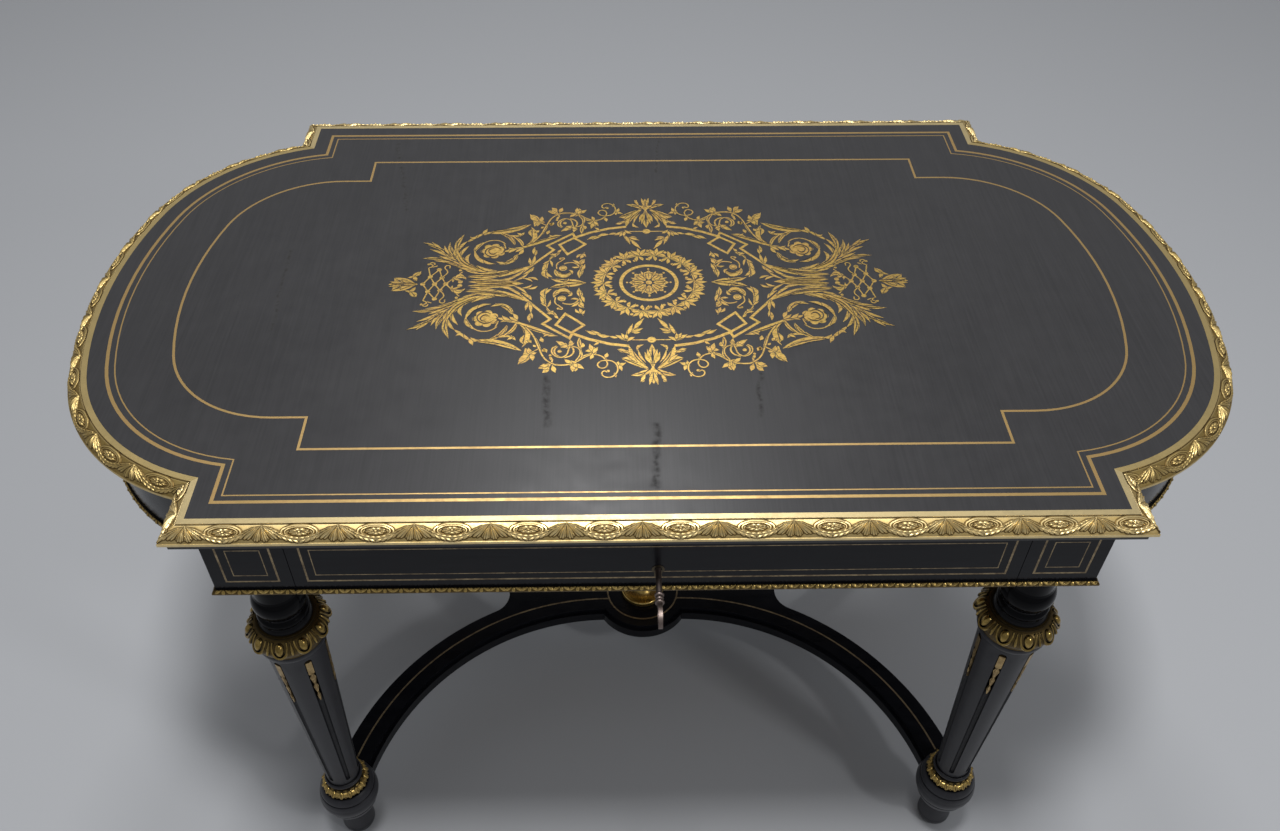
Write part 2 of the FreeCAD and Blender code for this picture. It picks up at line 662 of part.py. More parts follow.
def runner():
    """Right-hand drawer runner between front and back blocks, with its guide strip."""
    ledge = box((BLOCK_IN_X - RUNNER_LEDGE, -BLOCK_IN_Y, FRIEZE_BOTTOM),
                (BLOCK_IN_X + RUNNER_OUTSIDE, BLOCK_IN_Y, RUN_LEVEL))
    guide = box((BLOCK_IN_X, -BLOCK_IN_Y, RUN_LEVEL),
                (BLOCK_IN_X + RUNNER_OUTSIDE, BLOCK_IN_Y, RUN_LEVEL + GUIDE_HEIGHT))
    return joined([ledge, guide])


def kicker():
    """Right-hand strip that stops the drawer from tipping."""
    return box((BLOCK_IN_X - RUNNER_LEDGE, -BLOCK_IN_Y, UNDERSIDE - KICKER_HEIGHT),
               (BLOCK_IN_X + RUNNER_OUTSIDE, BLOCK_IN_Y, UNDERSIDE))


def front_rail(bottom, top):
    """Rail across the front, behind the drawer front."""
    start = FRONT_BACK + REAR_GAP
    return box((-BLOCK_IN_X, start, bottom), (BLOCK_IN_X, start + RAIL_WIDTH, top))


def frieze_mount_profile():
    """Gilt bead under the frieze, lapping a little way up its face."""
    low = FRIEZE_BOTTOM - FRIEZE_MOUNT_HEIGHT + FRIEZE_MOUNT_OVERLAP
    lap = FRIEZE_BOTTOM + FRIEZE_MOUNT_OVERLAP
    belly = (lap + low) / 2
    out = FRIEZE_MOUNT_OUT
    return [(-FRIEZE_MOUNT_LEDGE, low), (-FRIEZE_MOUNT_LEDGE, FRIEZE_BOTTOM), (0, FRIEZE_BOTTOM),
            (0, lap), (out * 0.4, lap), (out * 0.4, low, out, belly)]


def frieze_mounts():
    """Gilt beads under the blocks, the back rail and the bowed ends."""
    profile = frieze_mount_profile()
    corner = [outer_corner(OVERHANG), outer_corner(OVERHANG + BLOCK_SIZE)]
    step = [step_corner(OVERHANG), step_corner(OVERHANG + FRIEZE_MOUNT_LEDGE)]
    inner = Vector(BLOCK_IN_X + DRAWER_TRAVEL_GAP, BLOCK_OUT_Y, 0)
    along_back = straight_moulding(profile, inner, corner[0] + Vector(OVERHANG, 0, 0), Vector(0, 1, 0))
    along_back = keep_side(along_back, *corner, inner)
    low_end = Vector(BLOCK_OUT_X, step[1].y - OVERHANG, 0)
    along_side = straight_moulding(profile, low_end, corner[0] + Vector(0, OVERHANG, 0), Vector(1, 0, 0))
    middle = Vector(BLOCK_OUT_X, (corner[0].y + step[0].y) / 2, 0)
    along_side = keep_side(keep_side(along_side, *corner, middle), *step, middle)
    angle = joined([along_back, along_side])

    tip = Vector(OVERALL_LENGTH / 2, 0, 0)
    end = keep_side(end_moulding(profile, OVERHANG), *step, tip)
    end = keep_side(end, *[Vector(c.x, -c.y, 0) for c in step], tip)
    start = Vector(-BLOCK_IN_X - DRAWER_TRAVEL_GAP, BLOCK_OUT_Y, 0)
    back = straight_moulding(profile, start, inner, Vector(0, 1, 0))
    return four_ways(angle), [back, end, mirrored_x(end)]


# Drawer

def tails(side):
    """Dovetails that lock a drawer side into the front."""
    height = SIDE_TOP - SIDE_BOTTOM
    x = side * DRAWER_X - (SIDE_THICKNESS if side > 0 else 0)
    shapes = []
    for i in range(TAIL_COUNT):
        z = SIDE_BOTTOM + height * (i + 0.5) / TAIL_COUNT
        root, end = TAIL_ROOT / 2, TAIL_ROOT / 2 + TAIL_SPLAY
        corners = [(FRONT_BACK, z - root), (FRONT_BACK, z + root),
                   (FRONT_BACK - TAIL_LENGTH, z + end), (FRONT_BACK - TAIL_LENGTH, z - end)]
        face = profile_face(corners, lambda y, height_z: Vector(x, y, height_z))
        shapes.append(face.extrude(Vector(SIDE_THICKNESS, 0, 0)))
    return shapes


def bottom_panel():
    """Drawer bottom, held in grooves in the front and the sides."""
    half = DRAWER_X - SIDE_THICKNESS + BOTTOM_GROOVE
    low = SIDE_BOTTOM + BOTTOM_RISE
    return box((-half, FRONT_BACK - BOTTOM_GROOVE, low), (half, DRAWER_REAR, low + BOTTOM_THICKNESS))


def drawer_side(side):
    """Drawer side with its dovetails and the groove for the bottom."""
    outer, inner = side * DRAWER_X, side * (DRAWER_X - SIDE_THICKNESS)
    board = box((min(outer, inner), FRONT_BACK, SIDE_BOTTOM), (max(outer, inner), DRAWER_REAR, SIDE_TOP))
    return joined([board] + tails(side)).cut(bottom_panel())


def drawer_back():
    """Drawer back, standing on the bottom between the sides."""
    half = DRAWER_X - SIDE_THICKNESS
    low = SIDE_BOTTOM + BOTTOM_RISE + BOTTOM_THICKNESS
    return box((-half, DRAWER_REAR - BACK_THICKNESS, low), (half, DRAWER_REAR, SIDE_TOP))


def keyhole(start, end):
    """Round hole with a slot below it, along Y."""
    spare = KEYHOLE_CLEARANCE
    hole = Part.makeCylinder(STEM_RADIUS + spare, end - start, Vector(0, start, KEY_Z), Vector(0, 1, 0))
    half = BIT_THICKNESS / 2 + spare
    slot = box((-half, start, KEY_Z - BIT_RADIUS - spare), (half, end, KEY_Z))
    return joined([hole, slot])


def lock_case_body():
    """Outside of the lock, let into the back of the drawer front."""
    return box((-LOCK_WIDTH / 2, LOCK_FRONT, KEY_Z - LOCK_BELOW_KEY), (LOCK_WIDTH / 2, FRONT_BACK, LOCK_TOP))


def lock_case():
    """Lock case, open at the top for the bolt and in front for the key."""
    half = BOLT_WIDTH / 2 + LOCK_CLEARANCE
    low = KEY_Z - BIT_RADIUS - 2 * LOCK_CLEARANCE
    hollow = box((-half, BOLT_FRONT - LOCK_CLEARANCE, low),
                 (half, BOLT_FRONT + BOLT_THICKNESS + LOCK_CLEARANCE, LOCK_TOP))
    return lock_case_body().cut([hollow, keyhole(LOCK_FRONT, BOLT_FRONT)])


def lock_bolt():
    """Bolt with two legs that straddle the key's bit."""
    half = BOLT_WIDTH / 2
    back = BOLT_FRONT + BOLT_THICKNESS
    head = box((-half, BOLT_FRONT, BOLT_BOTTOM), (half, back, LOCK_TOP))
    leg = box((half - BOLT_LEG, BOLT_FRONT, BOLT_BOTTOM - BOLT_LEG_DROP), (half, back, BOLT_BOTTOM))
    return joined([head, leg, mirrored_x(leg)])


def key():
    """Key in the lock, with its bit down and its bow upright."""
    tip = FRONT - KEY_OUTSIDE
    collar = tip + BOW_LENGTH
    inside = BOLT_FRONT + BOLT_THICKNESS
    stem_start = collar + KEY_COLLAR_LENGTH
    thin, fat = STEM_RADIUS, KEY_COLLAR_RADIUS
    third = KEY_COLLAR_LENGTH / 3
    profile = [(0, collar - 2), (thin, collar - 2), (thin, collar),
               (thin, collar + third, fat, collar + third / 2),
               (thin, collar + 2 * third, fat * 0.85, collar + 1.5 * third),
               (thin, stem_start, fat, stem_start - third / 2), (thin, inside), (0, inside)]
    face = profile_face(profile, lambda r, y: Vector(r, y, KEY_Z))
    stem = face.revolve(Vector(0, 0, KEY_Z), Vector(0, 1, 0), 360)
    middle = Vector(-BOW_THICKNESS / 2, tip + BOW_LENGTH / 2, KEY_Z)

    def oval(margin):
        semi_y, semi_z = BOW_LENGTH / 2 - margin, BOW_HEIGHT / 2 - margin
        ring = Part.Ellipse(Vector(0, 0, 0), semi_y, semi_z).toShape()
        face = Part.Face(Part.Wire(ring))
        face.rotate(Vector(0, 0, 0), Vector(1, 1, 1), 120)
        face.translate(middle)
        return face.extrude(Vector(BOW_THICKNESS, 0, 0))

    bow = oval(0).cut(oval(BOW_WALL))
    half = BIT_THICKNESS / 2
    bit = box((-half, BOLT_FRONT, KEY_Z - BIT_RADIUS), (half, inside, KEY_Z))
    return joined([stem, bow, bit])


def escutcheon():
    """Round keyhole plate let into the drawer front."""
    plug = Part.makeCylinder(ESCUTCHEON_RADIUS, ESCUTCHEON_PROUD + ESCUTCHEON_DEPTH,
                             Vector(0, FRONT - ESCUTCHEON_PROUD, KEY_Z), Vector(0, 1, 0))
    tongue = STEM_RADIUS + 1.5 * KEYHOLE_CLEARANCE
    tail = box((-tongue, FRONT - ESCUTCHEON_PROUD, KEY_Z - BIT_RADIUS - 3 * KEYHOLE_CLEARANCE),
               (tongue, FRONT + ESCUTCHEON_DEPTH, KEY_Z))
    body = joined([plug, tail])
    return body, body.cut(keyhole(FRONT - ESCUTCHEON_PROUD, FRONT + ESCUTCHEON_DEPTH))


def drawer_front(lines, plate_body):
    """Drawer front, full height of the frieze, cut for its joints, lock and inlay."""
    board = box((-DRAWER_X, FRONT, FRIEZE_BOTTOM), (DRAWER_X, FRONT_BACK, DRAWER_TOP))
    recess = lock_case_body().fuse(box((-LOCK_WIDTH / 2, LOCK_FRONT, LOCK_TOP),
                                       (LOCK_WIDTH / 2, FRONT_BACK, DRAWER_TOP)))
    cuts = tails(1) + tails(-1) + [bottom_panel(), recess, keyhole(FRONT, LOCK_FRONT), plate_body]
    return board.cut(cuts + lines)


def drawer_mount():
    """Gilt bead under the drawer front, which moves with it."""
    start, end = Vector(-DRAWER_X, FRONT, 0), Vector(DRAWER_X, FRONT, 0)
    return straight_moulding(frieze_mount_profile(), start, end, Vector(0, -1, 0))


# Legs, each modelled about its own axis

def shaft_radius(z):
    """Radius of the tapered shaft at a height."""
    share = (z - SHAFT_BOTTOM) / SHAFT_LENGTH
    return SHAFT_BOTTOM_RADIUS + share * (SHAFT_TOP_RADIUS - SHAFT_BOTTOM_RADIUS)


def leg_body():
    """Turned leg: pin, ringed neck, collar seat, tapered shaft, ankle ring and necking."""
    neck, ring = NECK_RADIUS, SHAFT_RING_RADIUS
    collar_top = COLLAR_SEAT + COLLAR_HEIGHT
    height = FRIEZE_BOTTOM - collar_top
    z = [collar_top + height * share for share in (0.05, 0.07, 0.16, 0.18, 0.2, 0.48, 0.51, 0.66)]
    ankle = BALL_TOP + NECKING_HEIGHT
    profile = [
        (0, BALL_TOP), (NECKING_RADIUS, BALL_TOP), (NECKING_RADIUS, ankle),
        (NECKING_RADIUS, SHAFT_BOTTOM, ANKLE_RING_RADIUS, (ankle + SHAFT_BOTTOM) / 2),
        (SHAFT_BOTTOM_RADIUS, SHAFT_BOTTOM), (SHAFT_TOP_RADIUS, SHAFT_TOP),
        (ring - 1.5, SHAFT_TOP + 2.5), (ring - 1.5, COLLAR_SEAT, ring, (SHAFT_TOP + COLLAR_SEAT) / 2 + 1),
        (neck, COLLAR_SEAT), (neck, collar_top), (neck - 2.6, z[0]), (neck - 3, z[1]),
        (neck - 3, z[2], neck - 1, (z[1] + z[2]) / 2), (neck - 4.6, z[3]), (neck - 4.6, z[4]),
        (neck - 4.6, z[5], neck, (z[4] + z[5]) / 2), (neck - 5.5, z[6]),
        (neck - 5.5, z[7]), (neck + 1, FRIEZE_BOTTOM, neck - 4, (z[7] + FRIEZE_BOTTOM) / 2 + 4),
        (PIN_RADIUS, FRIEZE_BOTTOM), (PIN_RADIUS, FRIEZE_BOTTOM + PIN_LENGTH),
        (0, FRIEZE_BOTTOM + PIN_LENGTH),
    ]
    socket = Part.makeCylinder(DOWEL_RADIUS, DOWEL_LENGTH, Vector(0, 0, BALL_TOP))
    return turned(profile).cut(socket)


def flute_rod():
    """Round-ended tapering rod that cuts one flute, standing on the +X side of the shaft."""
    low, high = SHAFT_BOTTOM + FLUTE_MARGIN, SHAFT_TOP - FLUTE_MARGIN

    def centre(z, radius):
        depth = 2 * radius * FLUTE_DEPTH_SHARE / 2
        return Vector(shaft_radius(z) + radius - depth, 0, z)

    foot, head = centre(low, FLUTE_BOTTOM_RADIUS), centre(high, FLUTE_TOP_RADIUS)
    length = foot.distanceToPoint(head)
    thin, fat = FLUTE_BOTTOM_RADIUS, FLUTE_TOP_RADIUS
    slope = math.sqrt(0.5)
    rod = turned([(0, -thin), (thin, 0, thin * slope, -thin * slope), (fat, length),
                  (0, length + fat, fat * slope, length + fat * slope)])
    tilt = math.degrees(math.atan2(head.x - foot.x, head.z - foot.z))
    rod.rotate(Vector(0, 0, 0), Vector(0, 1, 0), tilt)
    rod.translate(foot)
    return rod


def husk_outline():
    """Half-widths and heights of the gilt fillet: a plain bar, then husks that taper away."""
    top = SHAFT_TOP - FLUTE_MARGIN
    half = FILLET_WIDTH / 2
    points = [(half, top), (half, top - FILLET_BAR)]
    for i in range(FILLET_HUSKS):
        size = half * (1 - 0.22 * i)
        start = top - FILLET_BAR - i * FILLET_HUSK
        points.append((size * 0.35, start - 1.5))
        points.append((size, start - FILLET_HUSK * 0.4))
    points.append((half * 0.12, top - FILLET_BAR - FILLET_HUSKS * FILLET_HUSK))
    return points


def fillet(rod):
    """Gilt fillet seated in the head of a flute, on the +X side of the shaft."""
    right = husk_outline()
    outline_points = right + [(-half, z) for half, z in reversed(right)]
    inner = SHAFT_BOTTOM_RADIUS
    face = profile_face(outline_points, lambda y, z: Vector(inner, y, z))
    prism = face.extrude(Vector(2 * SHAFT_TOP_RADIUS - inner, 0, 0))
    shell = turned([(0, SHAFT_BOTTOM), (SHAFT_BOTTOM_RADIUS + FILLET_PROUD, SHAFT_BOTTOM),
                    (SHAFT_TOP_RADIUS + FILLET_PROUD, SHAFT_TOP), (0, SHAFT_TOP)])
    return prism.common(rod).common(shell)


def foot_body():
    """Turned foot: toe, incised ball, collar seat and dowel."""
    ball, toe = BALL_RADIUS, TOE_RADIUS
    z = [TOE_HEIGHT + BALL_HEIGHT * share for share in (0.04, 0.36, 0.39, 0.42, 0.68, 0.8, 0.82, 0.85)]
    seat = (LOWER_COLLAR_RADIUS + 1.0, BALL_TOP)
    profile = [
        (0, 0), (toe - 4.5, 0), (toe, TOE_HEIGHT * 0.3, toe - 1, TOE_HEIGHT * 0.11),
        (toe - 3.5, TOE_HEIGHT, toe - 0.9, TOE_HEIGHT * 0.64),
        (toe + 3, z[0]), (ball - 4, z[1], ball - 8.5, (z[0] + z[1]) / 2 - 2),
        (ball - 4.6, z[2]), (ball - 2.8, z[3]), (ball - 0.7, z[4], ball, (z[3] + z[4]) / 2 + 1),
        (ball - 2.6, z[5], ball - 1.3, (z[4] + z[5]) / 2), (ball - 4, z[6]), (ball - 3.4, z[7]),
        seat + ((ball - 3.4 + seat[0]) / 2 + 1.0, (z[7] + BALL_TOP) / 2 + 0.8),
        (DOWEL_RADIUS, BALL_TOP), (DOWEL_RADIUS, BALL_TOP + DOWEL_LENGTH), (0, BALL_TOP + DOWEL_LENGTH),
    ]
    return turned(profile)


def upper_collar():
    """Gilt collar with a swelling ovolo, seated on the ring above the shaft."""
    bore, rim, low = NECK_RADIUS + COLLAR_FIT, COLLAR_RADIUS, COLLAR_SEAT
    high = low + COLLAR_HEIGHT
    return turned([(bore, low), (rim - 4.5, low), (rim - 4.5, low + 2.5),
                   (rim - 9.5, high - 4, rim, low + COLLAR_HEIGHT * 0.42),
                   (bore + 2.6, high - 3), (bore + 2.6, high), (bore, high)])


def lower_collar():
    """Gilt collar on top of the foot's ball, round the necking."""
    bore, rim, low = NECKING_RADIUS + COLLAR_FIT, LOWER_COLLAR_RADIUS, BALL_TOP
    high = low + LOWER_COLLAR_HEIGHT
    return turned([(bore, low), (rim - 1.6, low), (rim - 1.6, low + 2),
                   (bore + 3.6, high - 3, rim + 0.4, low + LOWER_COLLAR_HEIGHT * 0.45),
                   (bore + 2.4, high - 2), (bore + 2.4, high), (bore, high)])


# Stretcher

def arm_curve():
    """Centre and radius of the arc that an arm's middle line follows to the leg."""
    run, drop = LEG_X - ARM_START_X, LEG_Y - ARM_START_Y
    radius = (run ** 2 + drop ** 2) / (2 * drop)
    return Vector(ARM_START_X, -ARM_START_Y - radius, 0), radius


def arm_end_angle():
    """Angle on the arm's arc where its end lies inside the foot's ball."""
    centre, radius = arm_curve()
    at_leg = math.atan2(-LEG_Y - centre.y, LEG_X - centre.x)
    return at_leg + (BALL_RADIUS - ARM_TENON) / radius


def arm_layer(inset, bottom, top):
    """One layer of the front right arm, with its edges set in."""
    centre, radius = arm_curve()
    wide, narrow = radius + ARM_WIDTH / 2 - inset, radius - ARM_WIDTH / 2 + inset
    crotch = CROTCH_X - inset
    run = crotch - centre.x
    fillet_radius = (run ** 2 + centre.y ** 2 - wide ** 2) / (2 * (wide - run))
    fillet_centre = Vector(crotch + fillet_radius, 0, 0)
    touch = centre + (fillet_centre - centre).normalize() * wide
    bend = (Vector(crotch, 0, 0) + touch) * 0.5 - fillet_centre
    fillet_middle = fillet_centre + bend.normalize() * fillet_radius
    end = arm_end_angle()

    def at(reach, angle):
        return Vector(centre.x + reach * math.cos(angle), centre.y + reach * math.sin(angle), 0)

    touch_angle = math.atan2(touch.y - centre.y, touch.x - centre.x)
    wide_middle = at(wide, (touch_angle + end) / 2)
    narrow_middle = at(narrow, (math.pi / 2 + end) / 2)
    outer, inner, start = at(wide, end), at(narrow, end), at(narrow, math.pi / 2)
    points = [(0, 0), (crotch, 0), (touch.x, touch.y, fillet_middle.x, fillet_middle.y),
              (outer.x, outer.y, wide_middle.x, wide_middle.y), (inner.x, inner.y),
              (start.x, start.y, narrow_middle.x, narrow_middle.y), (0, start.y)]
    face = profile_face(points, lambda x, y: Vector(x, y, bottom))
    return face.extrude(UP * (top - bottom))


def stretcher_arm(lines):
    """Front right arm in two steps, cut round the hub and for its inlay."""
    bottom, shelf = STRETCHER_TOP - STRETCHER_THICKNESS, STRETCHER_TOP - STRETCHER_STEP
    lower = arm_layer(0, bottom, shelf)
    lower = lower.cut(Part.makeCylinder(HUB_RADIUS, STRETCHER_TOP))
    upper = arm_layer(STRETCHER_STEP_IN, shelf, STRETCHER_TOP)
    upper = upper.cut(Part.makeCylinder(HUB_RADIUS - STRETCHER_STEP_IN, STRETCHER_TOP))
    return joined([lower, upper]).cut(lines)


def arm_line():
    """Brass line along the middle of the front right arm, from the hub's ring to the foot."""
    centre, radius = arm_curve()
    half = STRETCHER_LINE_WIDTH / 2
    floor = STRETCHER_TOP - INLAY_DEPTH
    end = arm_end_angle() + ARM_TENON / radius
    middle = (math.pi / 2 + end) / 2

    def at(reach, angle):
        return centre.x + reach * math.cos(angle), centre.y + reach * math.sin(angle)

    wide, narrow = radius + half, radius - half
    points = [(0, at(wide, math.pi / 2)[1]), at(wide, math.pi / 2), at(wide, end) + at(wide, middle),
              at(narrow, end), at(narrow, math.pi / 2) + at(narrow, middle),
              (0, at(narrow, math.pi / 2)[1])]
    face = profile_face(points, lambda x, y: Vector(x, y, floor))
    line = face.extrude(UP * INLAY_DEPTH)
    return line.cut(Part.makeCylinder(HUB_RING_RADIUS + half, TABLE_HEIGHT))


def hub_ring():
    """Brass ring let into the hub."""
    half = STRETCHER_LINE_WIDTH / 2
    floor = STRETCHER_TOP - INLAY_DEPTH
    return turned([(HUB_RING_RADIUS - half, floor), (HUB_RING_RADIUS + half, floor),
                   (HUB_RING_RADIUS + half, STRETCHER_TOP), (HUB_RING_RADIUS - half, STRETCHER_TOP)])


def stretcher_hub(lines):
    """Round hub with a stepped edge and a hole for the urn's spigot."""
    bottom, shelf = STRETCHER_TOP - STRETCHER_THICKNESS, STRETCHER_TOP - STRETCHER_STEP
    hub = turned([(URN_SPIGOT_RADIUS, bottom), (HUB_RADIUS, bottom), (HUB_RADIUS, shelf),
                  (HUB_RADIUS - STRETCHER_STEP_IN, shelf), (HUB_RADIUS - STRETCHER_STEP_IN, STRETCHER_TOP),
                  (URN_SPIGOT_RADIUS, STRETCHER_TOP)])
    return hub.cut(lines)


def urn_body():
    """Gilt urn: spigot, spreading foot, stem and swelling bowl with a rim."""
    base, bowl, spigot = URN_BASE_RADIUS, URN_BODY_RADIUS, URN_SPIGOT_RADIUS
    z = [STRETCHER_TOP + URN_BODY_HEIGHT * share for share in (0.05, 0.09, 0.3, 0.34, 0.38, 0.72, 0.8, 0.94)]
    top = STRETCHER_TOP + URN_BODY_HEIGHT
    bottom = STRETCHER_TOP - STRETCHER_THICKNESS
    return turned([
        (0, bottom), (spigot, bottom), (spigot, STRETCHER_TOP), (base, STRETCHER_TOP), (base, z[0]),
        (base - 3, z[1], base - 0.6, z[1] - 1), (9, z[2], 13.5, (z[1] + z[2]) / 2 - 2),
        (13, z[3], 13.2, z[3] - 2.4), (9.5, z[4]), (bowl, z[5], bowl - 7, z[4] + 16),
        (bowl - 10, z[6], bowl - 2.5, z[6] - 2), (bowl - 13, z[7], bowl - 13.5, (z[6] + z[7]) / 2),
        (bowl - 6, top - 3), (bowl - 6, top), (0, top)])


def urn_lid():
    """Domed lid with a pointed bud."""
    low = STRETCHER_TOP + URN_BODY_HEIGHT
    rim = URN_BODY_RADIUS - 6
    z = [low + URN_LID_HEIGHT * share for share in (0.08, 0.4, 0.5, 0.58, 0.8)]
    return turned([(0, low), (rim, low), (rim, z[0]), (7, z[1], rim * 0.62, z[1] - 3), (5, z[2]),
                   (8, z[3]), (9, z[4], 10.2, (z[3] + z[4]) / 2), (0, low + URN_LID_HEIGHT)])


def build():
    """All nodes of the table, each a list of solids about the middle of the top."""
    nodes = {}
    lines = top_lines()
    marquetry = centre_marquetry()
    strike_seat, strike = strike_plate()
    nodes["table_top"] = [table_top(lines + marquetry, strike_seat)]
    nodes.update(edge_mounts())
    nodes["top_stringing"] = lines
    nodes["centre_marquetry"] = marquetry
    nodes["strike_plate"] = [strike]
    nodes["top_screws"] = screws()

    stringing = frieze_stringing()
    nodes["frieze_stringing"] = stringing
    corners = {"front_left": (-1, -1), "front_right": (1, -1), "back_left": (-1, 1), "back_right": (1, 1)}
    for name, (side_x, side_y) in corners.items():
        nodes["corner_block_" + name] = [corner_block(side_x, side_y, stringing)]
    back_rail = box((-BLOCK_IN_X, BLOCK_OUT_Y - RAIL_THICKNESS, FRIEZE_BOTTOM), (BLOCK_IN_X, BLOCK_OUT_Y, UNDERSIDE))
    nodes["back_rail"] = [back_rail.cut(stringing)]
    nodes["end_rail_right"] = [end_rail()]
    nodes["end_rail_left"] = [mirrored_x(end_rail())]
    nodes["front_bearer_rail"] = [front_rail(FRIEZE_BOTTOM, RUN_LEVEL)]
    nodes["front_top_rail"] = [front_rail(UNDERSIDE - KICKER_HEIGHT, UNDERSIDE)]
    nodes["drawer_runners"] = [runner(), mirrored_x(runner())]
    nodes["drawer_kickers"] = [piece.cut(screws()) for piece in (kicker(), mirrored_x(kicker()))]
    angles, rails = frieze_mounts()
    nodes["frieze_mount_corners"] = angles
    nodes["frieze_mount_rails"] = rails

    front_lines = panel_lines(0, 2 * DRAWER_X)
    plate_body, keyhole_plate = escutcheon()
    front_lines = [line.cut(plate_body) for line in front_lines]
    nodes["drawer_front"] = [drawer_front(front_lines, plate_body)]
    nodes["drawer_side_left"] = [drawer_side(-1)]
    nodes["drawer_side_right"] = [drawer_side(1)]
    nodes["drawer_back"] = [drawer_back()]
    nodes["drawer_bottom"] = [bottom_panel().cut(lock_case_body())]
    nodes["drawer_stringing"] = front_lines
    nodes["drawer_mount"] = [drawer_mount()]
    nodes["escutcheon"] = [keyhole_plate]
    nodes["lock_case"] = [lock_case()]
    nodes["lock_bolt"] = [lock_bolt()]
    nodes["key"] = [key()]

    rod = flute_rod()
    one_fillet = fillet(rod)
    leg, foot = leg_body(), foot_body()
    front_arm_line = arm_line()
    stretcher_lines = four_ways(front_arm_line) + [hub_ring()]
    arm = stretcher_arm(stretcher_lines)
    arms = dict(zip(("front_right", "back_right", "front_left", "back_left"), four_ways(arm)))
    nodes["flute_fillets"] = []
    for name, (side_x, side_y) in corners.items():
        x, y = side_x * LEG_X, side_y * LEG_Y
        turns = [-side_y * FLUTE_TURN + 360.0 * i / FLUTE_COUNT for i in range(FLUTE_COUNT)]
        fluted = leg.cut([turned_by(rod, turn) for turn in turns])
        nodes["leg_" + name] = [moved_by(fluted, x, y)]
        nodes["flute_fillets"] += [moved_by(turned_by(one_fillet, turn), x, y) for turn in turns]
        nodes["foot_" + name] = [moved_by(foot, x, y).cut(arms[name])]
        nodes["upper_collar_" + name] = [moved_by(upper_collar(), x, y)]
        nodes["lower_collar_" + name] = [moved_by(lower_collar(), x, y)]
        nodes["stretcher_arm_" + name] = [arms[name]]
    nodes["stretcher_hub"] = [stretcher_hub(stretcher_lines)]
    nodes["stretcher_stringing"] = stretcher_lines
    nodes["urn_body"] = [urn_body()]
    nodes["urn_lid"] = [urn_lid()]
    return nodes


def export(nodes):
    """Move every node to the shared origin and write it to its own file."""
    os.makedirs("parts", exist_ok=True)
    for name, shapes in nodes.items():
        solids = [solid for shape in shapes for solid in shape.Solids]
        whole = solids[0] if len(solids) == 1 else Part.makeCompound(solids)
        whole.translate(ORIGIN_SHIFT)
        whole.exportStep("parts/%s.step" % name)
        bounds = whole.BoundBox
        print("%-28s %3d solids, valid %s, %7.1f x %6.1f x %6.1f mm" % (
            name, len(solids), whole.isValid(), bounds.XLength, bounds.YLength, bounds.ZLength))
    print(len(nodes), "nodes")


export(build())
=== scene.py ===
# %% [markdown]
# # A black centre table with gilt mounts
# The solids of the table come from its CAD model, which is the frame that everything here is
# fitted to. This lesson gives the solids their finishes and adds what a chaser and a marquetry
# cutter would add: the pattern of the gilt edge, the collars of the legs, the small leaves under
# the frieze, the husks in the flutes and the fine brass tendrils in the middle of the top.

# %% Load the frame
import json
import math
import bpy
from mathutils import Matrix, Vector


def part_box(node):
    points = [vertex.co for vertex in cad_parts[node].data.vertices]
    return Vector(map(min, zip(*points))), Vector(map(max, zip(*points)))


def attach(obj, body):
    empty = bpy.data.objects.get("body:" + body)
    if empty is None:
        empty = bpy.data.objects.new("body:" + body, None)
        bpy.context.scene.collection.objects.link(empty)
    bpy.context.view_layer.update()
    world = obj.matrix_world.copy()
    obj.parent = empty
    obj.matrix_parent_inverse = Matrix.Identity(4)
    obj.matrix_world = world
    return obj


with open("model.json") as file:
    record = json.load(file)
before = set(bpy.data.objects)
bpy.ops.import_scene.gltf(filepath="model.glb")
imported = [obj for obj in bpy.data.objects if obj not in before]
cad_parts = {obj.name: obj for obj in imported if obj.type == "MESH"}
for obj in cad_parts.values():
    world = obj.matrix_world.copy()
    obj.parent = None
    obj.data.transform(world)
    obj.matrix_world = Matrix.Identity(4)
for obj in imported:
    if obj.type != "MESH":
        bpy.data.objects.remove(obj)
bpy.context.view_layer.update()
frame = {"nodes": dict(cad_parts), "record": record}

nodes = frame["nodes"]

# %% [markdown]
# ## Places to build from
# The pieces below are set against the CAD nodes, so their places are read from the nodes' boxes
# and not typed in again. Sizes are in metres, and MM makes a size in millimetres readable.

# %% Read the places
MM = 0.001
top_low, top_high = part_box("table_top")
TOP_Z = top_high.z
CENTRE_Y = (top_low.y + top_high.y) / 2
front_low, front_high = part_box("edge_mount_front")
back_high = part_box("edge_mount_back")[1]
EDGE_WIDTH = front_high.y - front_low.y
CORNER_X = front_high.x
HALF_DEPTH = (back_high.y - front_low.y) / 2
END_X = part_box("edge_mount_right")[1].x
FRIEZE_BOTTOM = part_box("corner_block_front_left")[0].z
print("top at %.3f m, its middle at y = %.4f m" % (TOP_Z, CENTRE_Y))

# %% [markdown]
# ## Camera
# The camera of the photograph stands in front of the table and looks down at it. It could be placed
# by eye, but a fit of the table's corners gave the lens, the place and the angles more closely. The
# picture was cropped a little off centre, which the lens shift follows.

# %% Set the camera
PHOTO_WIDTH = 1280
SENSOR_WIDTH = 36.0
FOCAL_PIXELS = 1100.1
OPTICAL_CENTRE = (624.3, 419.9)
PHOTO_CENTRE = (640.0, 415.5)
CAMERA_FROM_CENTRE = Vector((-48.3, -1108.7, 1612.9)) * MM
LOOK_DOWN, LOOK_RIGHT, ROLL = (math.radians(a) for a in (44.68, 0.91, 0.12))

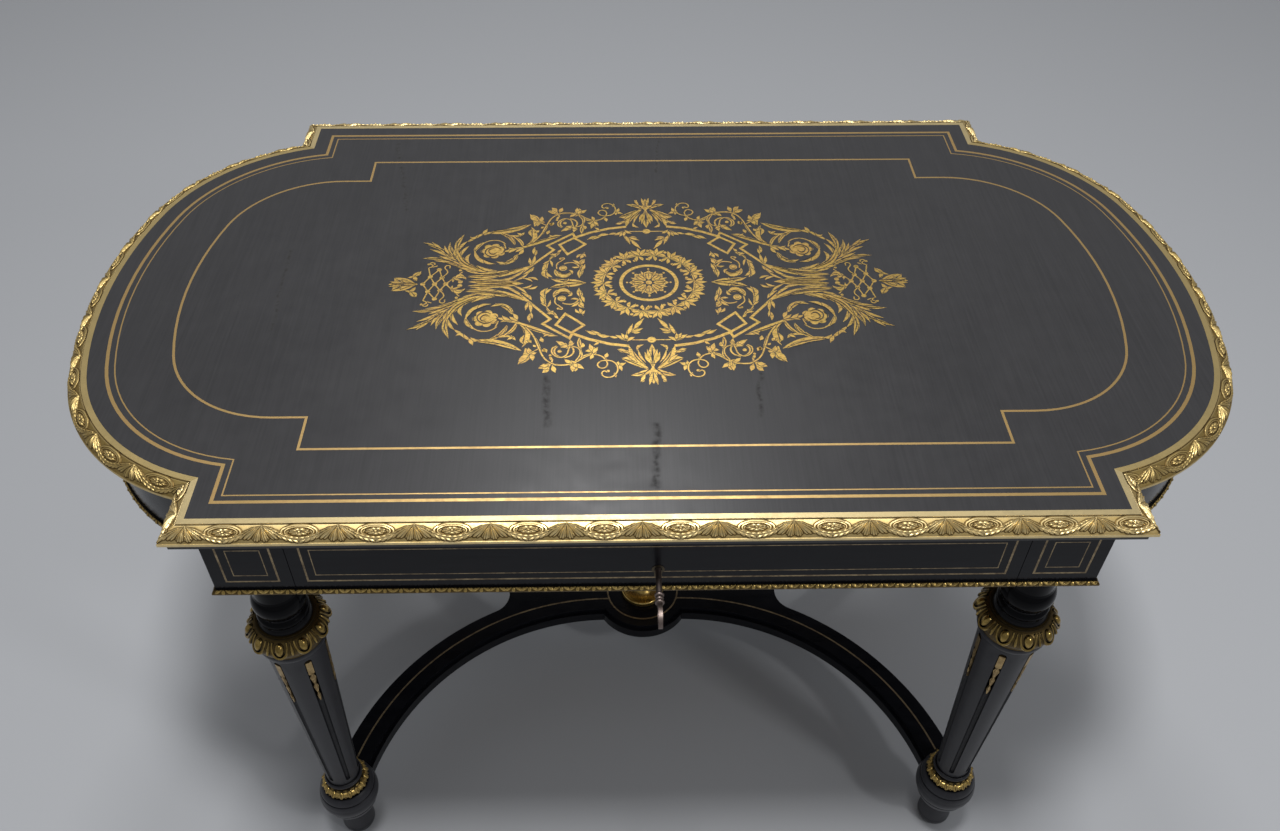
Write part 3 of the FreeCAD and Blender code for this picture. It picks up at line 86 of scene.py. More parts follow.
bpy.ops.object.select_all(action="DESELECT")
bpy.ops.object.camera_add()
camera = bpy.context.object
camera.name = "photo_camera"
camera.data.sensor_width = SENSOR_WIDTH
camera.data.lens = FOCAL_PIXELS * SENSOR_WIDTH / PHOTO_WIDTH
camera.data.shift_x = (PHOTO_CENTRE[0] - OPTICAL_CENTRE[0]) / PHOTO_WIDTH
camera.data.shift_y = (OPTICAL_CENTRE[1] - PHOTO_CENTRE[1]) / PHOTO_WIDTH
turn = (Matrix.Rotation(-LOOK_RIGHT, 4, "Z") @ Matrix.Rotation(math.pi / 2 - LOOK_DOWN, 4, "X")
        @ Matrix.Rotation(ROLL, 4, "Z"))
camera.matrix_world = Matrix.Translation(CAMERA_FROM_CENTRE + Vector((0, CENTRE_Y, 0))) @ turn
bpy.context.scene.camera = camera
print("lens %.1f mm" % camera.data.lens)

# %% [markdown]
# ## Floor and light
# A plain pale floor takes the table's shadow. A soft lamp hangs high over the front of the table,
# where the shadow of the photograph puts it. Another hangs behind the table, where the front of
# the polished top mirrors it, and a small one stands to the right for the glints on the legs. An
# even pale world fills in the shadows. A panorama picture could do all of this, but lamps can be
# moved one at a time until each shadow and glint is in its place.

# %% Lay the floor
FLOOR_SIZE = 14.0
FLOOR_GREY = (0.43, 0.44, 0.46, 1)
FLOOR_ROUGHNESS = 0.6

bpy.ops.object.select_all(action="DESELECT")
bpy.ops.mesh.primitive_plane_add(size=FLOOR_SIZE, location=(0, 0, 0))
floor = bpy.context.object
floor.name = "floor"
paint = bpy.data.materials.new("floor_paint")
paint.use_nodes = True
paint_shader = paint.node_tree.nodes["Principled BSDF"]
paint_shader.inputs["Base Color"].default_value = FLOOR_GREY
paint_shader.inputs["Roughness"].default_value = FLOOR_ROUGHNESS
floor.data.materials.append(paint)
print("floor: %.0f m square" % FLOOR_SIZE)

# %% Hang the lamps
# Lamps: name, place and the point that it faces in metres, width in metres, power in watts
LAMPS = [("ceiling_lamp", (-0.1, -0.6, 4.7), (0, 0, 0.4), 0.7, 118),
         ("back_lamp", (-0.1, 2.1, 4.2), (-0.05, -0.4, 0.76), 0.7, 32),
         ("window_side", (1.9, -1.7, 2.3), (0, 0, 0.5), 0.28, 11)]
WORLD_WHITE = (0.95, 0.97, 1.0, 1)
WORLD_LIGHT = 0.29


def soft_lamp(name, place, aim, size, power):
    """A square lamp that faces a point."""
    bpy.ops.object.light_add(type="AREA", location=place)
    lamp = bpy.context.object
    lamp.name = name
    lamp.data.shape = "SQUARE"
    lamp.data.size = size
    lamp.data.energy = power
    lamp.rotation_euler = (Vector(aim) - Vector(place)).to_track_quat("-Z", "Y").to_euler()


for lamp_row in LAMPS:
    soft_lamp(*lamp_row)
world = bpy.data.worlds.new("pale_world")
bpy.context.scene.world = world
world.use_nodes = True
background = world.node_tree.nodes["Background"]
background.inputs["Color"].default_value = WORLD_WHITE
background.inputs["Strength"].default_value = WORLD_LIGHT
bpy.context.scene.view_settings.view_transform = "Standard"

# %% [markdown]
# ## Effects that several finishes share
# Old polish, gilding and brass all age in the same few ways: cloudy mottling, dirt that stays in
# recesses, streaks along the grain and hairline cracks. The recess mask paints the shade that falls
# in recesses as well as the dirt there. These could be painted as pictures, but noise on the object's
# own coordinates stays sharp close up and needs no file. Each way is a node group, built once. A
# group gives only a mask, and each material puts it to use with its own values.

# %% Helpers for nodes
FLOAT, VECTOR = "NodeSocketFloat", "NodeSocketVector"


def feed(tree, node, feeds):
    """Give a node's inputs, by name or number, plain values or the outputs of other nodes."""
    for key, source in feeds.items():
        if isinstance(source, bpy.types.NodeSocket):
            tree.links.new(source, node.inputs[key])
        else:
            node.inputs[key].default_value = source


def add(tree, kind, feeds=None, **settings):
    """Add a node with its settings and feed its inputs."""
    node = tree.nodes.new(kind)
    for key, value in settings.items():
        setattr(node, key, value)
    feed(tree, node, feeds or {})
    return node


def new_group(name, *inputs):
    """Empty node group: inputs, each a name, kind and value, and one output, a mask."""
    tree = bpy.data.node_groups.new(name, "ShaderNodeTree")
    for title, kind, value in inputs:
        tree.interface.new_socket(title, in_out="INPUT", socket_type=kind).default_value = value
    tree.interface.new_socket("Mask", in_out="OUTPUT", socket_type=FLOAT)
    given = tree.nodes.new("NodeGroupInput").outputs
    return tree, given, tree.nodes.new("NodeGroupOutput").inputs["Mask"]


def effect(tree, group, **feeds):
    """The mask of a group that is placed in a material."""
    return add(tree, "ShaderNodeGroup", feeds, node_tree=group).outputs["Mask"]

# %% Helpers for arithmetic with nodes
def sums(tree, operation, *feeds, clamp=False):
    """One step of arithmetic."""
    node = add(tree, "ShaderNodeMath", dict(enumerate(feeds)), operation=operation, use_clamp=clamp)
    return node.outputs[0]


def rising(tree, mask, start, rise):
    """A value that rises from its start as far as a mask is white."""
    return sums(tree, "MULTIPLY_ADD", mask, rise, start)


def between(tree, value, low, high, start, end):
    """Value carried from one range to another."""
    node = add(tree, "ShaderNodeMapRange", {0: value, 1: low, 2: high, 3: start, 4: end}, clamp=True)
    return node.outputs[0]


def blend(tree, share, first, second):
    """Colour between two others."""
    node = add(tree, "ShaderNodeMix", {0: share, 6: first, 7: second}, data_type="RGBA")
    return node.outputs[2]


def vectors(tree, operation, *feeds, gives="Vector"):
    """One step of arithmetic with places and directions."""
    node = add(tree, "ShaderNodeVectorMath", dict(enumerate(feeds)), operation=operation)
    return node.outputs[gives]


def noise(tree, place, scale, detail):
    """Outputs of a noise texture: its value, then its colour."""
    feeds = {"Vector": place, "Scale": scale, "Detail": detail}
    return add(tree, "ShaderNodeTexNoise", feeds).outputs

# %% Mottling: broad clouds with finer ones in them
FINER = 6.0
BROAD_SHARE, FINE_SHARE = 0.55, 0.45
CLOUD_RANGE = (0.38, 0.62)

mottling, given, mask = new_group("mottling", ("Vector", VECTOR, (0, 0, 0)), ("Scale", FLOAT, 40.0))
broad = noise(mottling, given["Vector"], given["Scale"], 4.0)[0]
fine_scale = sums(mottling, "MULTIPLY", given["Scale"], FINER)
fine = noise(mottling, given["Vector"], fine_scale, 3.0)[0]
both = rising(mottling, fine, sums(mottling, "MULTIPLY", broad, BROAD_SHARE), FINE_SHARE)
mottling.links.new(between(mottling, both, *CLOUD_RANGE, 0.0, 1.0), mask)
print("made", mottling.name)

# %% Dirt and painted shade in recesses: where nearby surfaces shelter a place
recess, given, mask = new_group("recess_dirt_and_shade", ("Distance", FLOAT, 0.003), ("Strength", FLOAT, 1.6))
shelter = add(recess, "ShaderNodeAmbientOcclusion", {"Distance": given["Distance"]}, samples=8)
# Sheltered places are where shade falls, so this mask paints shade as well as dirt.
hidden = sums(recess, "SUBTRACT", 1.0, shelter.outputs["AO"])
recess.links.new(sums(recess, "MULTIPLY", hidden, given["Strength"], clamp=True), mask)
print("made", recess.name)

# %% Streaks: noise that is drawn out along the grain
FIBRE_RANGE = (0.35, 0.65)

streaks, given, mask = new_group("grain_streaks", ("Vector", VECTOR, (0, 0, 0)),
                                 ("Stretch", VECTOR, (1, 1, 1)))
drawn_out = vectors(streaks, "MULTIPLY", given["Vector"], given["Stretch"])
fibre = add(streaks, "ShaderNodeTexNoise", {"Vector": drawn_out, "Scale": 1.0, "Detail": 5.0,
                                            "Roughness": 0.65})
streaks.links.new(between(streaks, fibre.outputs[0], *FIBRE_RANGE, 0.0, 1.0), mask)
print("made", streaks.name)

# %% Hairline crack: how near a place is to the line between two points
crack, given, mask = new_group("hairline_crack", ("Vector", VECTOR, (0, 0, 0)),
                               ("Start", VECTOR, (0, 0, 0)), ("End", VECTOR, (0, 0, 0)),
                               ("Width", FLOAT, 0.001))
run = vectors(crack, "SUBTRACT", given["End"], given["Start"])
away = vectors(crack, "SUBTRACT", given["Vector"], given["Start"])
ahead = vectors(crack, "DOT_PRODUCT", away, run, gives="Value")
whole = vectors(crack, "DOT_PRODUCT", run, run, gives="Value")
share = sums(crack, "DIVIDE", ahead, whole, clamp=True)
foot = add(crack, "ShaderNodeVectorMath", {0: run, "Scale": share}, operation="SCALE").outputs["Vector"]
off = vectors(crack, "DISTANCE", away, foot, gives="Value")
crack.links.new(between(crack, off, 0.0, given["Width"], 1.0, 0.0), mask)
print("made", crack.name)

# %% [markdown]
# ## Black finishes
# The top has a satin polish with a grey sheen, and a few hairline cracks run along the grain of its
# veneer. The frieze and stretcher are glossier. The shafts have been rubbed duller
# than the necks above them, which the frieze shelters. One black for all would be simpler, but the
# difference in gloss is what tells these surfaces apart. Where the gloss changes along one piece, a
# coat of varnish is thinned by a mask, because the export can bake a coat's weight, and it drops a
# specular level that nodes drive.

# %% Start a finish
def finish(name):
    """New material with its tree, shader and the object's own coordinates."""
    material = bpy.data.materials.new(name)
    material.use_nodes = True
    tree = material.node_tree
    place = add(tree, "ShaderNodeTexCoord").outputs["Object"]
    return material, tree, tree.nodes["Principled BSDF"], place


def bumped(tree, shader, height, strength, distance):
    """Give a shader a bumpy surface."""
    bump = add(tree, "ShaderNodeBump", {"Height": height, "Strength": strength, "Distance": distance})
    tree.links.new(bump.outputs[0], shader.inputs["Normal"])

# %% Satin polish of the top
# Ends of the cracks in millimetres from the middle of the top, and how wide each one looks
CRACKS = [((-360, 335), (-325, 165), 6.0), ((-125, -178), (-119, -252), 7.0),
          ((124, -172), (116, -240), 4.5), ((0, -255), (-3, -345), 6.0),
          ((24, 353), (19, 257), 3.0), ((-466, 75), (-458, -87), 4.0)]
CRACK_SWAY = (0.012, 0.006, 0)
CRACK_BLACK = (0.006, 0.005, 0.004, 1)
SATIN_DARK, SATIN_PALE = (0.024, 0.0235, 0.025, 1), (0.031, 0.030, 0.032, 1)


def cracks_in(tree, place):
    """Mask of the cracks: wandering lines, broken up by crumbs of polish."""
    wander = noise(tree, place, 28.0, 3.0)[1]
    shift = vectors(tree, "SUBTRACT", wander, (0.5, 0.5, 0.5))
    swaying = vectors(tree, "MULTIPLY_ADD", shift, CRACK_SWAY, place)
    lines = 0.0
    for start, end, width in CRACKS:
        ends = [(x * MM, y * MM + CENTRE_Y, TOP_Z) for x, y in (start, end)]
        line = effect(tree, crack, Vector=swaying, Start=ends[0], End=ends[1], Width=width * MM)
        lines = sums(tree, "MAXIMUM", line, lines)
    crumbs = noise(tree, place, 150.0, 4.0)[0]
    return sums(tree, "MULTIPLY", lines, between(tree, crumbs, 0.40, 0.60, 0.15, 0.85))


def satin_top():
    """Worn satin polish with streaks along the grain and hairline cracks."""
    material, tree, shader, place = finish("black_satin_top")
    grain = effect(tree, streaks, Vector=place, Stretch=(420, 9, 1))
    cloud = effect(tree, mottling, Vector=place, Scale=7.0)
    lines = cracks_in(tree, place)
    tone = blend(tree, grain, SATIN_DARK, SATIN_PALE)
    satin = rising(tree, cloud, 0.31, 0.09)
    feed(tree, shader, {"Base Color": blend(tree, lines, tone, CRACK_BLACK),
                        "Roughness": rising(tree, lines, satin, 0.40)})
    bumped(tree, shader, grain, 0.03, 0.0003)
    return material


top_black = satin_top()
print("%s with %d cracks" % (top_black.name, len(CRACKS)))

# %% Gloss of the frieze and stretcher, and the turned legs
GLOSS_DARK, GLOSS_PALE = (0.004, 0.0043, 0.006, 1), (0.008, 0.0083, 0.011, 1)
RUBBED_DARK, RUBBED_PALE = (0.012, 0.012, 0.015, 1), (0.020, 0.020, 0.025, 1)
# The near-black of the flutes is painted shade in the flutes and other recesses of the legs.
NECK_BLACK, FLUTE_SHADE_BLACK = (0.004, 0.004, 0.005, 1), (0.002, 0.002, 0.003, 1)
NECK_STARTS, NECK_FULL = 0.530, 0.540


def black_gloss():
    """Deep gloss with the faint waves of a hand-laid polish."""
    material, tree, shader, place = finish("black_gloss")
    cloud = effect(tree, mottling, Vector=place, Scale=9.0)
    grain = effect(tree, streaks, Vector=place, Stretch=(12, 40, 300))
    feed(tree, shader, {"Base Color": blend(tree, grain, GLOSS_DARK, GLOSS_PALE),
                        "Roughness": rising(tree, cloud, 0.17, 0.10),
                        "Specular IOR Level": 0.18})
    bumped(tree, shader, cloud, 0.05, 0.0005)
    return material


def black_turned():
    """Turned legs: rubbed satin on shaft and foot, glossy on the sheltered neck, painted shade in the
    flutes.
    """
    material, tree, shader, place = finish("black_turned")
    cloud = effect(tree, mottling, Vector=place, Scale=26.0)
    height = add(tree, "ShaderNodeSeparateXYZ", {0: place}).outputs["Z"]
    neck = between(tree, height, NECK_STARTS, NECK_FULL, 0.0, 1.0)
    # This mask darkens the flutes and other recesses of the legs as painted shade.
    dirt_and_shade = effect(tree, recess, Distance=0.007, Strength=4.0)
    worn = blend(tree, neck, blend(tree, cloud, RUBBED_DARK, RUBBED_PALE), NECK_BLACK)
    sheltered = sums(tree, "MAXIMUM", neck, dirt_and_shade)
    feed(tree, shader, {"Base Color": blend(tree, dirt_and_shade, worn, FLUTE_SHADE_BLACK),
                        "Roughness": rising(tree, neck, rising(tree, cloud, 0.34, 0.10), -0.27),
                        "Coat Weight": between(tree, sheltered, 0.0, 1.0, 0.56, 0.0),
                        "Coat Roughness": 0.39, "Specular IOR Level": 0.08})
    bumped(tree, shader, cloud, 0.05, 0.0004)
    return material


gloss_black, leg_black = black_gloss(), black_turned()
print("black finishes:", top_black.name, gloss_black.name, leg_black.name)

# %% [markdown]
# ## Metals and oak
# Gilding stays bright where hands and cloths reach it, and its recesses are painted brown, for the
# dirt in them and for the shade that falls there. The round ends are darker than the front, as
# painted shade, and the collars are darker too. The inlaid brass has tarnished in clouds, the
# stringing of the frieze and stretcher is a dull brown, partly from wear and partly as painted shade
# under the overhang of the top, and the key is worn steel. Dirt and shade could be painted on by
# hand, but the recess group finds their places by itself, so one recipe with other colours serves
# nearly every metal here.

# %% Recipe for old metal
# Brown of the dirt and the painted shade in the recesses of the metals
BROWN = (0.045, 0.027, 0.009)


def old_metal(name, bright, tarnished, dirt_and_shade_colour, rough, clouds=60.0, reach=0.0022, strength=1.7,
              tarnish=0.5, hatch=None):
    """Metal with clouds of tarnish and, where asked for, dirt and painted shade in its recesses and fine
    engraved lines.
    """
    material, tree, shader, place = finish(name)
    cloud = effect(tree, mottling, Vector=place, Scale=clouds)
    colour = blend(tree, sums(tree, "MULTIPLY", cloud, tarnish), (*bright, 1), (*tarnished, 1))
    roughness, metallic = rising(tree, cloud, rough, 0.12), 1.0
    if hatch:
        lines = effect(tree, streaks, Vector=place, Stretch=hatch)
        colour = blend(tree, between(tree, lines, 0.5, 0.9, 0.0, 0.6), colour, (*dirt_and_shade_colour, 1))
    if strength:
        dirt_and_shade = effect(tree, recess, Distance=reach, Strength=strength)
        colour = blend(tree, dirt_and_shade, colour, (*dirt_and_shade_colour, 1))
        roughness, metallic = rising(tree, dirt_and_shade, roughness, 0.25), rising(tree, dirt_and_shade, 1.0, -0.5)
    feed(tree, shader, {"Base Color": colour, "Roughness": roughness, "Metallic": metallic})
    bumped(tree, shader, cloud, 0.06, 0.0003)
    return material

# %% Recipe for the gilded edge
BAND_DEPTH, LIP_DEPTH, BAND_FADE = 1.0 * MM, 12.0 * MM, 0.4 * MM
BAND_CLOUDED = 0.85


def edge_gilding(name, band, bright, dark):
    """Gilding of the edge: pale and worn on its flat bands, darker on its slope, and brown between the
    leaves of its slope for dirt and painted shade.
    """
    material, tree, shader, place = finish(name)
    cloud = effect(tree, mottling, Vector=place, Scale=60.0)
    # Both masks darken the recesses of the slope with brown: dirt and painted shade.
    close = effect(tree, recess, Distance=0.0026, Strength=2.4)
    wide = effect(tree, recess, Distance=0.009, Strength=1.3)
    dirt_and_shade = sums(tree, "MAXIMUM", close, wide)
    height = add(tree, "ShaderNodeSeparateXYZ", {0: place}).outputs["Z"]
    band_z, lip_z = TOP_Z - BAND_DEPTH, TOP_Z - LIP_DEPTH
    below_band = between(tree, height, band_z - BAND_FADE, band_z, 1.0, 0.0)
    above_lip = between(tree, height, lip_z, lip_z + BAND_FADE, 0.0, 1.0)
    slope = sums(tree, "MULTIPLY", below_band, above_lip)
    pale = blend(tree, cloud, (*band, 1), (*(BAND_CLOUDED * part for part in band), 1))
    worn = blend(tree, slope, pale, blend(tree, cloud, (*bright, 1), (*dark, 1)))
    feed(tree, shader, {"Base Color": blend(tree, dirt_and_shade, worn, (*BROWN, 1)),
                        "Roughness": rising(tree, cloud, 0.36, 0.10),
                        "Metallic": rising(tree, dirt_and_shade, 1.0, -0.5)})
    bumped(tree, shader, cloud, 0.06, 0.0003)
    return material

# %% Recipe for oak
OAK_PALE, OAK_DARK = (0.30, 0.19, 0.10, 1), (0.20, 0.12, 0.06, 1)
OAK_PORES = (0.10, 0.06, 0.03, 1)


def oak():
    """Plain oak of the drawer and the hidden rails."""
    material, tree, shader, place = finish("oak")
    rings = effect(tree, streaks, Vector=place, Stretch=(5, 60, 60))
    pores = effect(tree, streaks, Vector=place, Stretch=(30, 700, 700))
    tone = blend(tree, rings, OAK_PALE, OAK_DARK)
    feed(tree, shader, {"Base Color": blend(tree, sums(tree, "MULTIPLY", pores, 0.45), tone, OAK_PORES),
                        "Roughness": rising(tree, pores, 0.48, 0.15)})
    bumped(tree, shader, pores, 0.12, 0.0003)
    return material


drawer_oak = oak()
print("made", drawer_oak.name)

# %% Mix the gilding
# Each metal: its bright, tarnished and dirty colours, and its roughness where it is clean
gilt = old_metal("gilt_bronze", (0.90, 0.71, 0.35), (0.74, 0.54, 0.22), BROWN, 0.33,
                 reach=0.0018, strength=1.9)
# The dark line round each form of the edge: dirt in the chaser's line, and painted shade at the foot of
# each form.
chased_line_and_shade = old_metal("chased_line_and_shade", (0.20, 0.13, 0.045), (0.10, 0.06, 0.02), BROWN, 0.5, strength=0)
gilt_ground = edge_gilding("gilt_edge", (0.90, 0.72, 0.38), (0.70, 0.53, 0.24), (0.56, 0.40, 0.15))
# The round ends get darker gilding than the front, as painted shade.
shaded_end_ground = edge_gilding("gilt_end_shaded", (0.76, 0.58, 0.26), (0.50, 0.36, 0.13), (0.34, 0.23, 0.07))
shaded_end_gilt = old_metal("gilt_end_relief", (0.72, 0.54, 0.22), (0.46, 0.32, 0.10), BROWN, 0.36,
                     reach=0.003, strength=2.4)
# The collars are darker, and their recesses are near black for dirt and painted shade between the eggs.
collar_gilt = old_metal("collar_gilt", (0.46, 0.32, 0.10), (0.17, 0.11, 0.03), (0.004, 0.003, 0.001),
                        0.20, reach=0.006, strength=4.0, tarnish=0.8)
# Dark ground of the collars and the frieze mounts; on the collars it also paints the shade between the
# eggs.
dark_bronze = old_metal("dark_bronze", (0.15, 0.10, 0.033), (0.07, 0.046, 0.015), (0.005, 0.003, 0.001),
                        0.30, reach=0.0075, strength=2.4)
dull_gilt = old_metal("dull_gilt", (0.64, 0.45, 0.15), (0.32, 0.21, 0.06), (0.008, 0.005, 0.002), 0.22,
                      reach=0.0048, strength=3.2, tarnish=0.7)
print("gilding:", gilt.name, gilt_ground.name, shaded_end_ground.name, collar_gilt.name, dull_gilt.name)

# %% Mix the brass and steel
fillet_brass = old_metal("fillet_brass", (0.56, 0.41, 0.20), (0.26, 0.17, 0.07), BROWN, 0.36,
                         clouds=160.0, strength=2.6, tarnish=0.9)
inlaid_brass = old_metal("inlaid_brass", (0.92, 0.62, 0.17), (0.60, 0.38, 0.13), BROWN, 0.33,
                         clouds=22.0, strength=0, tarnish=0.8, hatch=(220, 800, 1))
string_brass = old_metal("string_brass", (0.84, 0.57, 0.23), (0.56, 0.37, 0.16), BROWN, 0.33,
                         clouds=35.0, strength=0, tarnish=0.9)
# Dull brown stringing of the frieze, drawer and stretcher: partly wear, partly painted shade under the
# overhang of the top.
brown_brass_worn_and_shaded = old_metal("brown_brass_worn_and_shaded", (0.44, 0.34, 0.20), (0.16, 0.12, 0.08), BROWN, 0.42,
                        clouds=45.0, strength=0, tarnish=0.9)
steel = old_metal("worn_steel", (0.25, 0.20, 0.18), (0.12, 0.09, 0.075), (0.05, 0.04, 0.03), 0.40,
                  clouds=130.0)
black_brass = old_metal("blackened_brass", (0.10, 0.08, 0.05), (0.03, 0.025, 0.02), (0.01, 0.01, 0.01),
                        0.35)
print("brass:", fillet_brass.name, inlaid_brass.name, string_brass.name, brown_brass_worn_and_shaded.name)

# %% [markdown]
# ## A finish for every solid
# The CAD record names a slot for each node, such as ebonised or gilt. Each slot has one finish, and a
# node whose polish, dirt or painted shade differs from the rest of its slot is listed by its name. That
# is shorter than a list of all the nodes, and a node that is added later still gets a finish.

# %% Give every solid its finish
LEGS = ("front_left", "front_right", "back_left", "back_right")
SLOT_FINISH = {"ebonised": gloss_black, "gilt": gilt, "brass_inlay": inlaid_brass, "oak": drawer_oak,
               "steel": steel}
NODE_FINISH = {"table_top": top_black, "top_stringing": string_brass, "frieze_stringing": brown_brass_worn_and_shaded,
               "drawer_stringing": brown_brass_worn_and_shaded, "stretcher_stringing": brown_brass_worn_and_shaded,
               "escutcheon": black_brass, "flute_fillets": fillet_brass,
               "frieze_mount_corners": dark_bronze, "frieze_mount_rails": dark_bronze,
               "drawer_mount": dark_bronze, "urn_body": dull_gilt, "urn_lid": dull_gilt}
for side in ("front", "back", "returns"):
    NODE_FINISH["edge_mount_" + side] = gilt_ground
NODE_FINISH["edge_mount_left"] = NODE_FINISH["edge_mount_right"] = shaded_end_ground
for leg in LEGS:
    NODE_FINISH["leg_" + leg] = NODE_FINISH["foot_" + leg] = leg_black
    NODE_FINISH["upper_collar_" + leg] = dark_bronze
    NODE_FINISH["lower_collar_" + leg] = dull_gilt
for row in frame["record"]["subparts"]:
    mesh = nodes[row["node"]].data
    mesh.materials.clear()
    mesh.materials.append(NODE_FINISH.get(row["node"], SLOT_FINISH[row["material_slot"]]))

# %% [markdown]
# ## Helpers for modelling by hand
# Operators act on what is selected, so each helper selects exactly the pieces that it works on. A
# finished piece keeps its place in its mesh, with its object at the origin, as a CAD node does.

# %% Select, settle and copy
def select_only(*pieces):
    """Select these pieces and nothing else."""
    bpy.ops.object.select_all(action="DESELECT")
    for piece in pieces:
        piece.select_set(True)
    bpy.context.view_layer.objects.active = pieces[0]


def settle(piece):
    """Put a piece's place, turn and scale into its mesh."""
    select_only(piece)
    bpy.ops.object.transform_apply(location=True, rotation=True, scale=True)
    return piece


def moved(piece, x, y, z=0.0):
    """Move a piece by a distance in millimetres."""
    piece.location = (x * MM, y * MM, z * MM)
    return settle(piece)


def copied(piece, place=(0, 0, 0), turn_z=0.0, scale=(1, 1, 1)):
    """A copy with its own mesh, turned about Z and moved."""
    select_only(piece)
    bpy.ops.object.duplicate(linked=False)
    twin = bpy.context.object
    twin.location = place
    twin.rotation_euler = (0, 0, turn_z)
    twin.scale = scale
    return settle(twin)


def forget(*pieces):
    """Delete the models that copies were taken from."""
    select_only(*pieces)
    bpy.ops.object.delete()

# %% Join, modify and dress
def joined(pieces, name):
    """One piece out of several."""
    select_only(*pieces)
    if len(pieces) > 1:
        bpy.ops.object.join()
    bpy.context.object.name = name
    return bpy.context.object


def applied(piece, kind, **values):
    """Add a modifier, set its values and apply it."""
    select_only(piece)
    modifier = piece.modifiers.new(kind.lower(), kind)
    for key, value in values.items():
        setattr(modifier, key, value)
    bpy.ops.object.modifier_apply(modifier=modifier.name)
    return piece


def in_a_row(piece, count, step):
    """Repeat a piece along X."""
    return applied(piece, "ARRAY", count=count, use_relative_offset=False, use_constant_offset=True,
                   constant_offset_displace=(step, 0, 0))


def smooth(piece, degrees=50):
    """Shade a piece smooth, but keep its sharp edges."""
    select_only(piece)
    bpy.ops.object.shade_smooth_by_angle(angle=math.radians(degrees))
    return piece


def dressed(piece, body, material):
    """Let a finished piece ride on a body and give it its finish."""
    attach(piece, body)
    piece.data.materials.clear()
    piece.data.materials.append(material)
    print("%s: %d faces, on %s" % (piece.name, len(piece.data.polygons), body))

# %% [markdown]
# ## Petals, cords and mitres: the chaser's strokes
# Cast ornament of this kind is made of a few shapes: swelling petals and raised cords. They could be
# sculpted, but that takes very many faces, and there are thousands of petals here. So a petal starts
# as a ball with its poles lengthwise, which is stretched and then tapered towards its stalk. A cord
# is a curve with a round section, which is turned into a mesh. Where two strips meet at a corner,
# the bisect tool cuts the pattern along the mitre, as a metalworker would.

# %% Make a petal
SORTED_FROM = (1.3, 2.9, 0.7)


def in_fixed_order(piece):
    """Sort a new ball's faces from a point at its side, because each run lists them differently."""
    cursor = bpy.context.scene.cursor
    cursor.location = SORTED_FROM
    bpy.ops.object.mode_set(mode="EDIT")
    bpy.ops.mesh.select_all(action="SELECT")
    bpy.ops.mesh.sort_elements(type="CURSOR_DISTANCE", elements={"VERT", "EDGE", "FACE"})
    bpy.ops.object.mode_set(mode="OBJECT")
    cursor.location = (0, 0, 0)
    for edge in piece.data.edges:
        edge.vertices = sorted(edge.vertices)
    return piece


def petal(length, width, height, taper=0.0, segments=8, rings=7):
    """A closed petal that lies along -Y from its stalk at the origin, half above the ground."""
    bpy.ops.object.select_all(action="DESELECT")
    bpy.ops.mesh.primitive_uv_sphere_add(segments=segments, ring_count=rings, radius=0.5,
                                         rotation=(math.pi / 2, 0, 0))
    piece = settle(in_fixed_order(bpy.context.object))
    piece.scale = (width * MM, length * MM, height * MM)
    settle(piece)
    if taper:
        applied(piece, "SIMPLE_DEFORM", deform_method="TAPER", deform_axis="Y", factor=-taper)
    return moved(piece, 0, -length / 2)

# %% Make a cord
OVAL_KNOTS = 8


def cord(points, radius, swell=None, closed=False, fineness=4):
    """A round cord through points in millimetres. Swell gives each point's share of the radius."""
    line = bpy.data.curves.new("cord", "CURVE")
    line.dimensions = "3D"
    line.bevel_depth = radius * MM
    line.bevel_resolution = 1
    line.resolution_u = fineness
    line.use_fill_caps = True
    spline = line.splines.new("BEZIER")
    spline.bezier_points.add(len(points) - 1)
    spline.use_cyclic_u = closed
    for i, (knot, (x, y)) in enumerate(zip(spline.bezier_points, points)):
        knot.co = (x * MM, y * MM, 0)
        knot.handle_left_type = knot.handle_right_type = "AUTO"
        knot.radius = swell[i] if swell else 1.0
    piece = bpy.data.objects.new("cord", line)
    bpy.context.scene.collection.objects.link(piece)
    select_only(piece)
    bpy.ops.object.convert(target="MESH")
    return bpy.context.object


def oval_cord(half_length, half_width, radius):
    """A raised oval outline about the origin."""
    angles = [2 * math.pi / OVAL_KNOTS * i for i in range(OVAL_KNOTS)]
    ring = [(half_length * math.cos(a), half_width * math.sin(a)) for a in angles]
    return cord(ring, radius, closed=True, fineness=5)

# %% Cut a mitre
def mitred(piece, outer, inner, keep):
    """Cut a piece along the mitre through two points and keep the side of a third."""
    along = Vector(inner) - Vector(outer)
    across = Vector((-along.y, along.x)).normalized()
    if across.dot(Vector(keep) - Vector(outer)) > 0:
        across.negate()
    select_only(piece)
    bpy.ops.object.mode_set(mode="EDIT")
    bpy.ops.mesh.select_all(action="SELECT")
    bpy.ops.mesh.bisect(plane_co=(*outer, 0), plane_no=(*across, 0), use_fill=True, clear_outer=True)
    bpy.ops.object.mode_set(mode="OBJECT")
    return piece

# %% [markdown]
# ## One repeat of the gilt edge
# The edge of the top is a cast and chased strip of gilt bronze. Its slope repeats two motifs: a
# spray of acanthus leaves that hangs from the top line, and a rosette in two oval rings, with a
# leafy garland slung below it from spray to spray. It could be modelled on the slope straight away,
# but flat it is easier to measure: X runs along the edge and -Y down the slope. A second repeat with
# a rim round every form, pressed nearly flat and dark, lies under the first. It is the line that the
# chaser's punch leaves round each leaf, with dirt in it, and also painted shade at the foot of each
# form; without it the relief looks soft.

# %% Model the spray
REPEAT = 76.6
UNIT = 10
RIDGE_TAPER = 0.62
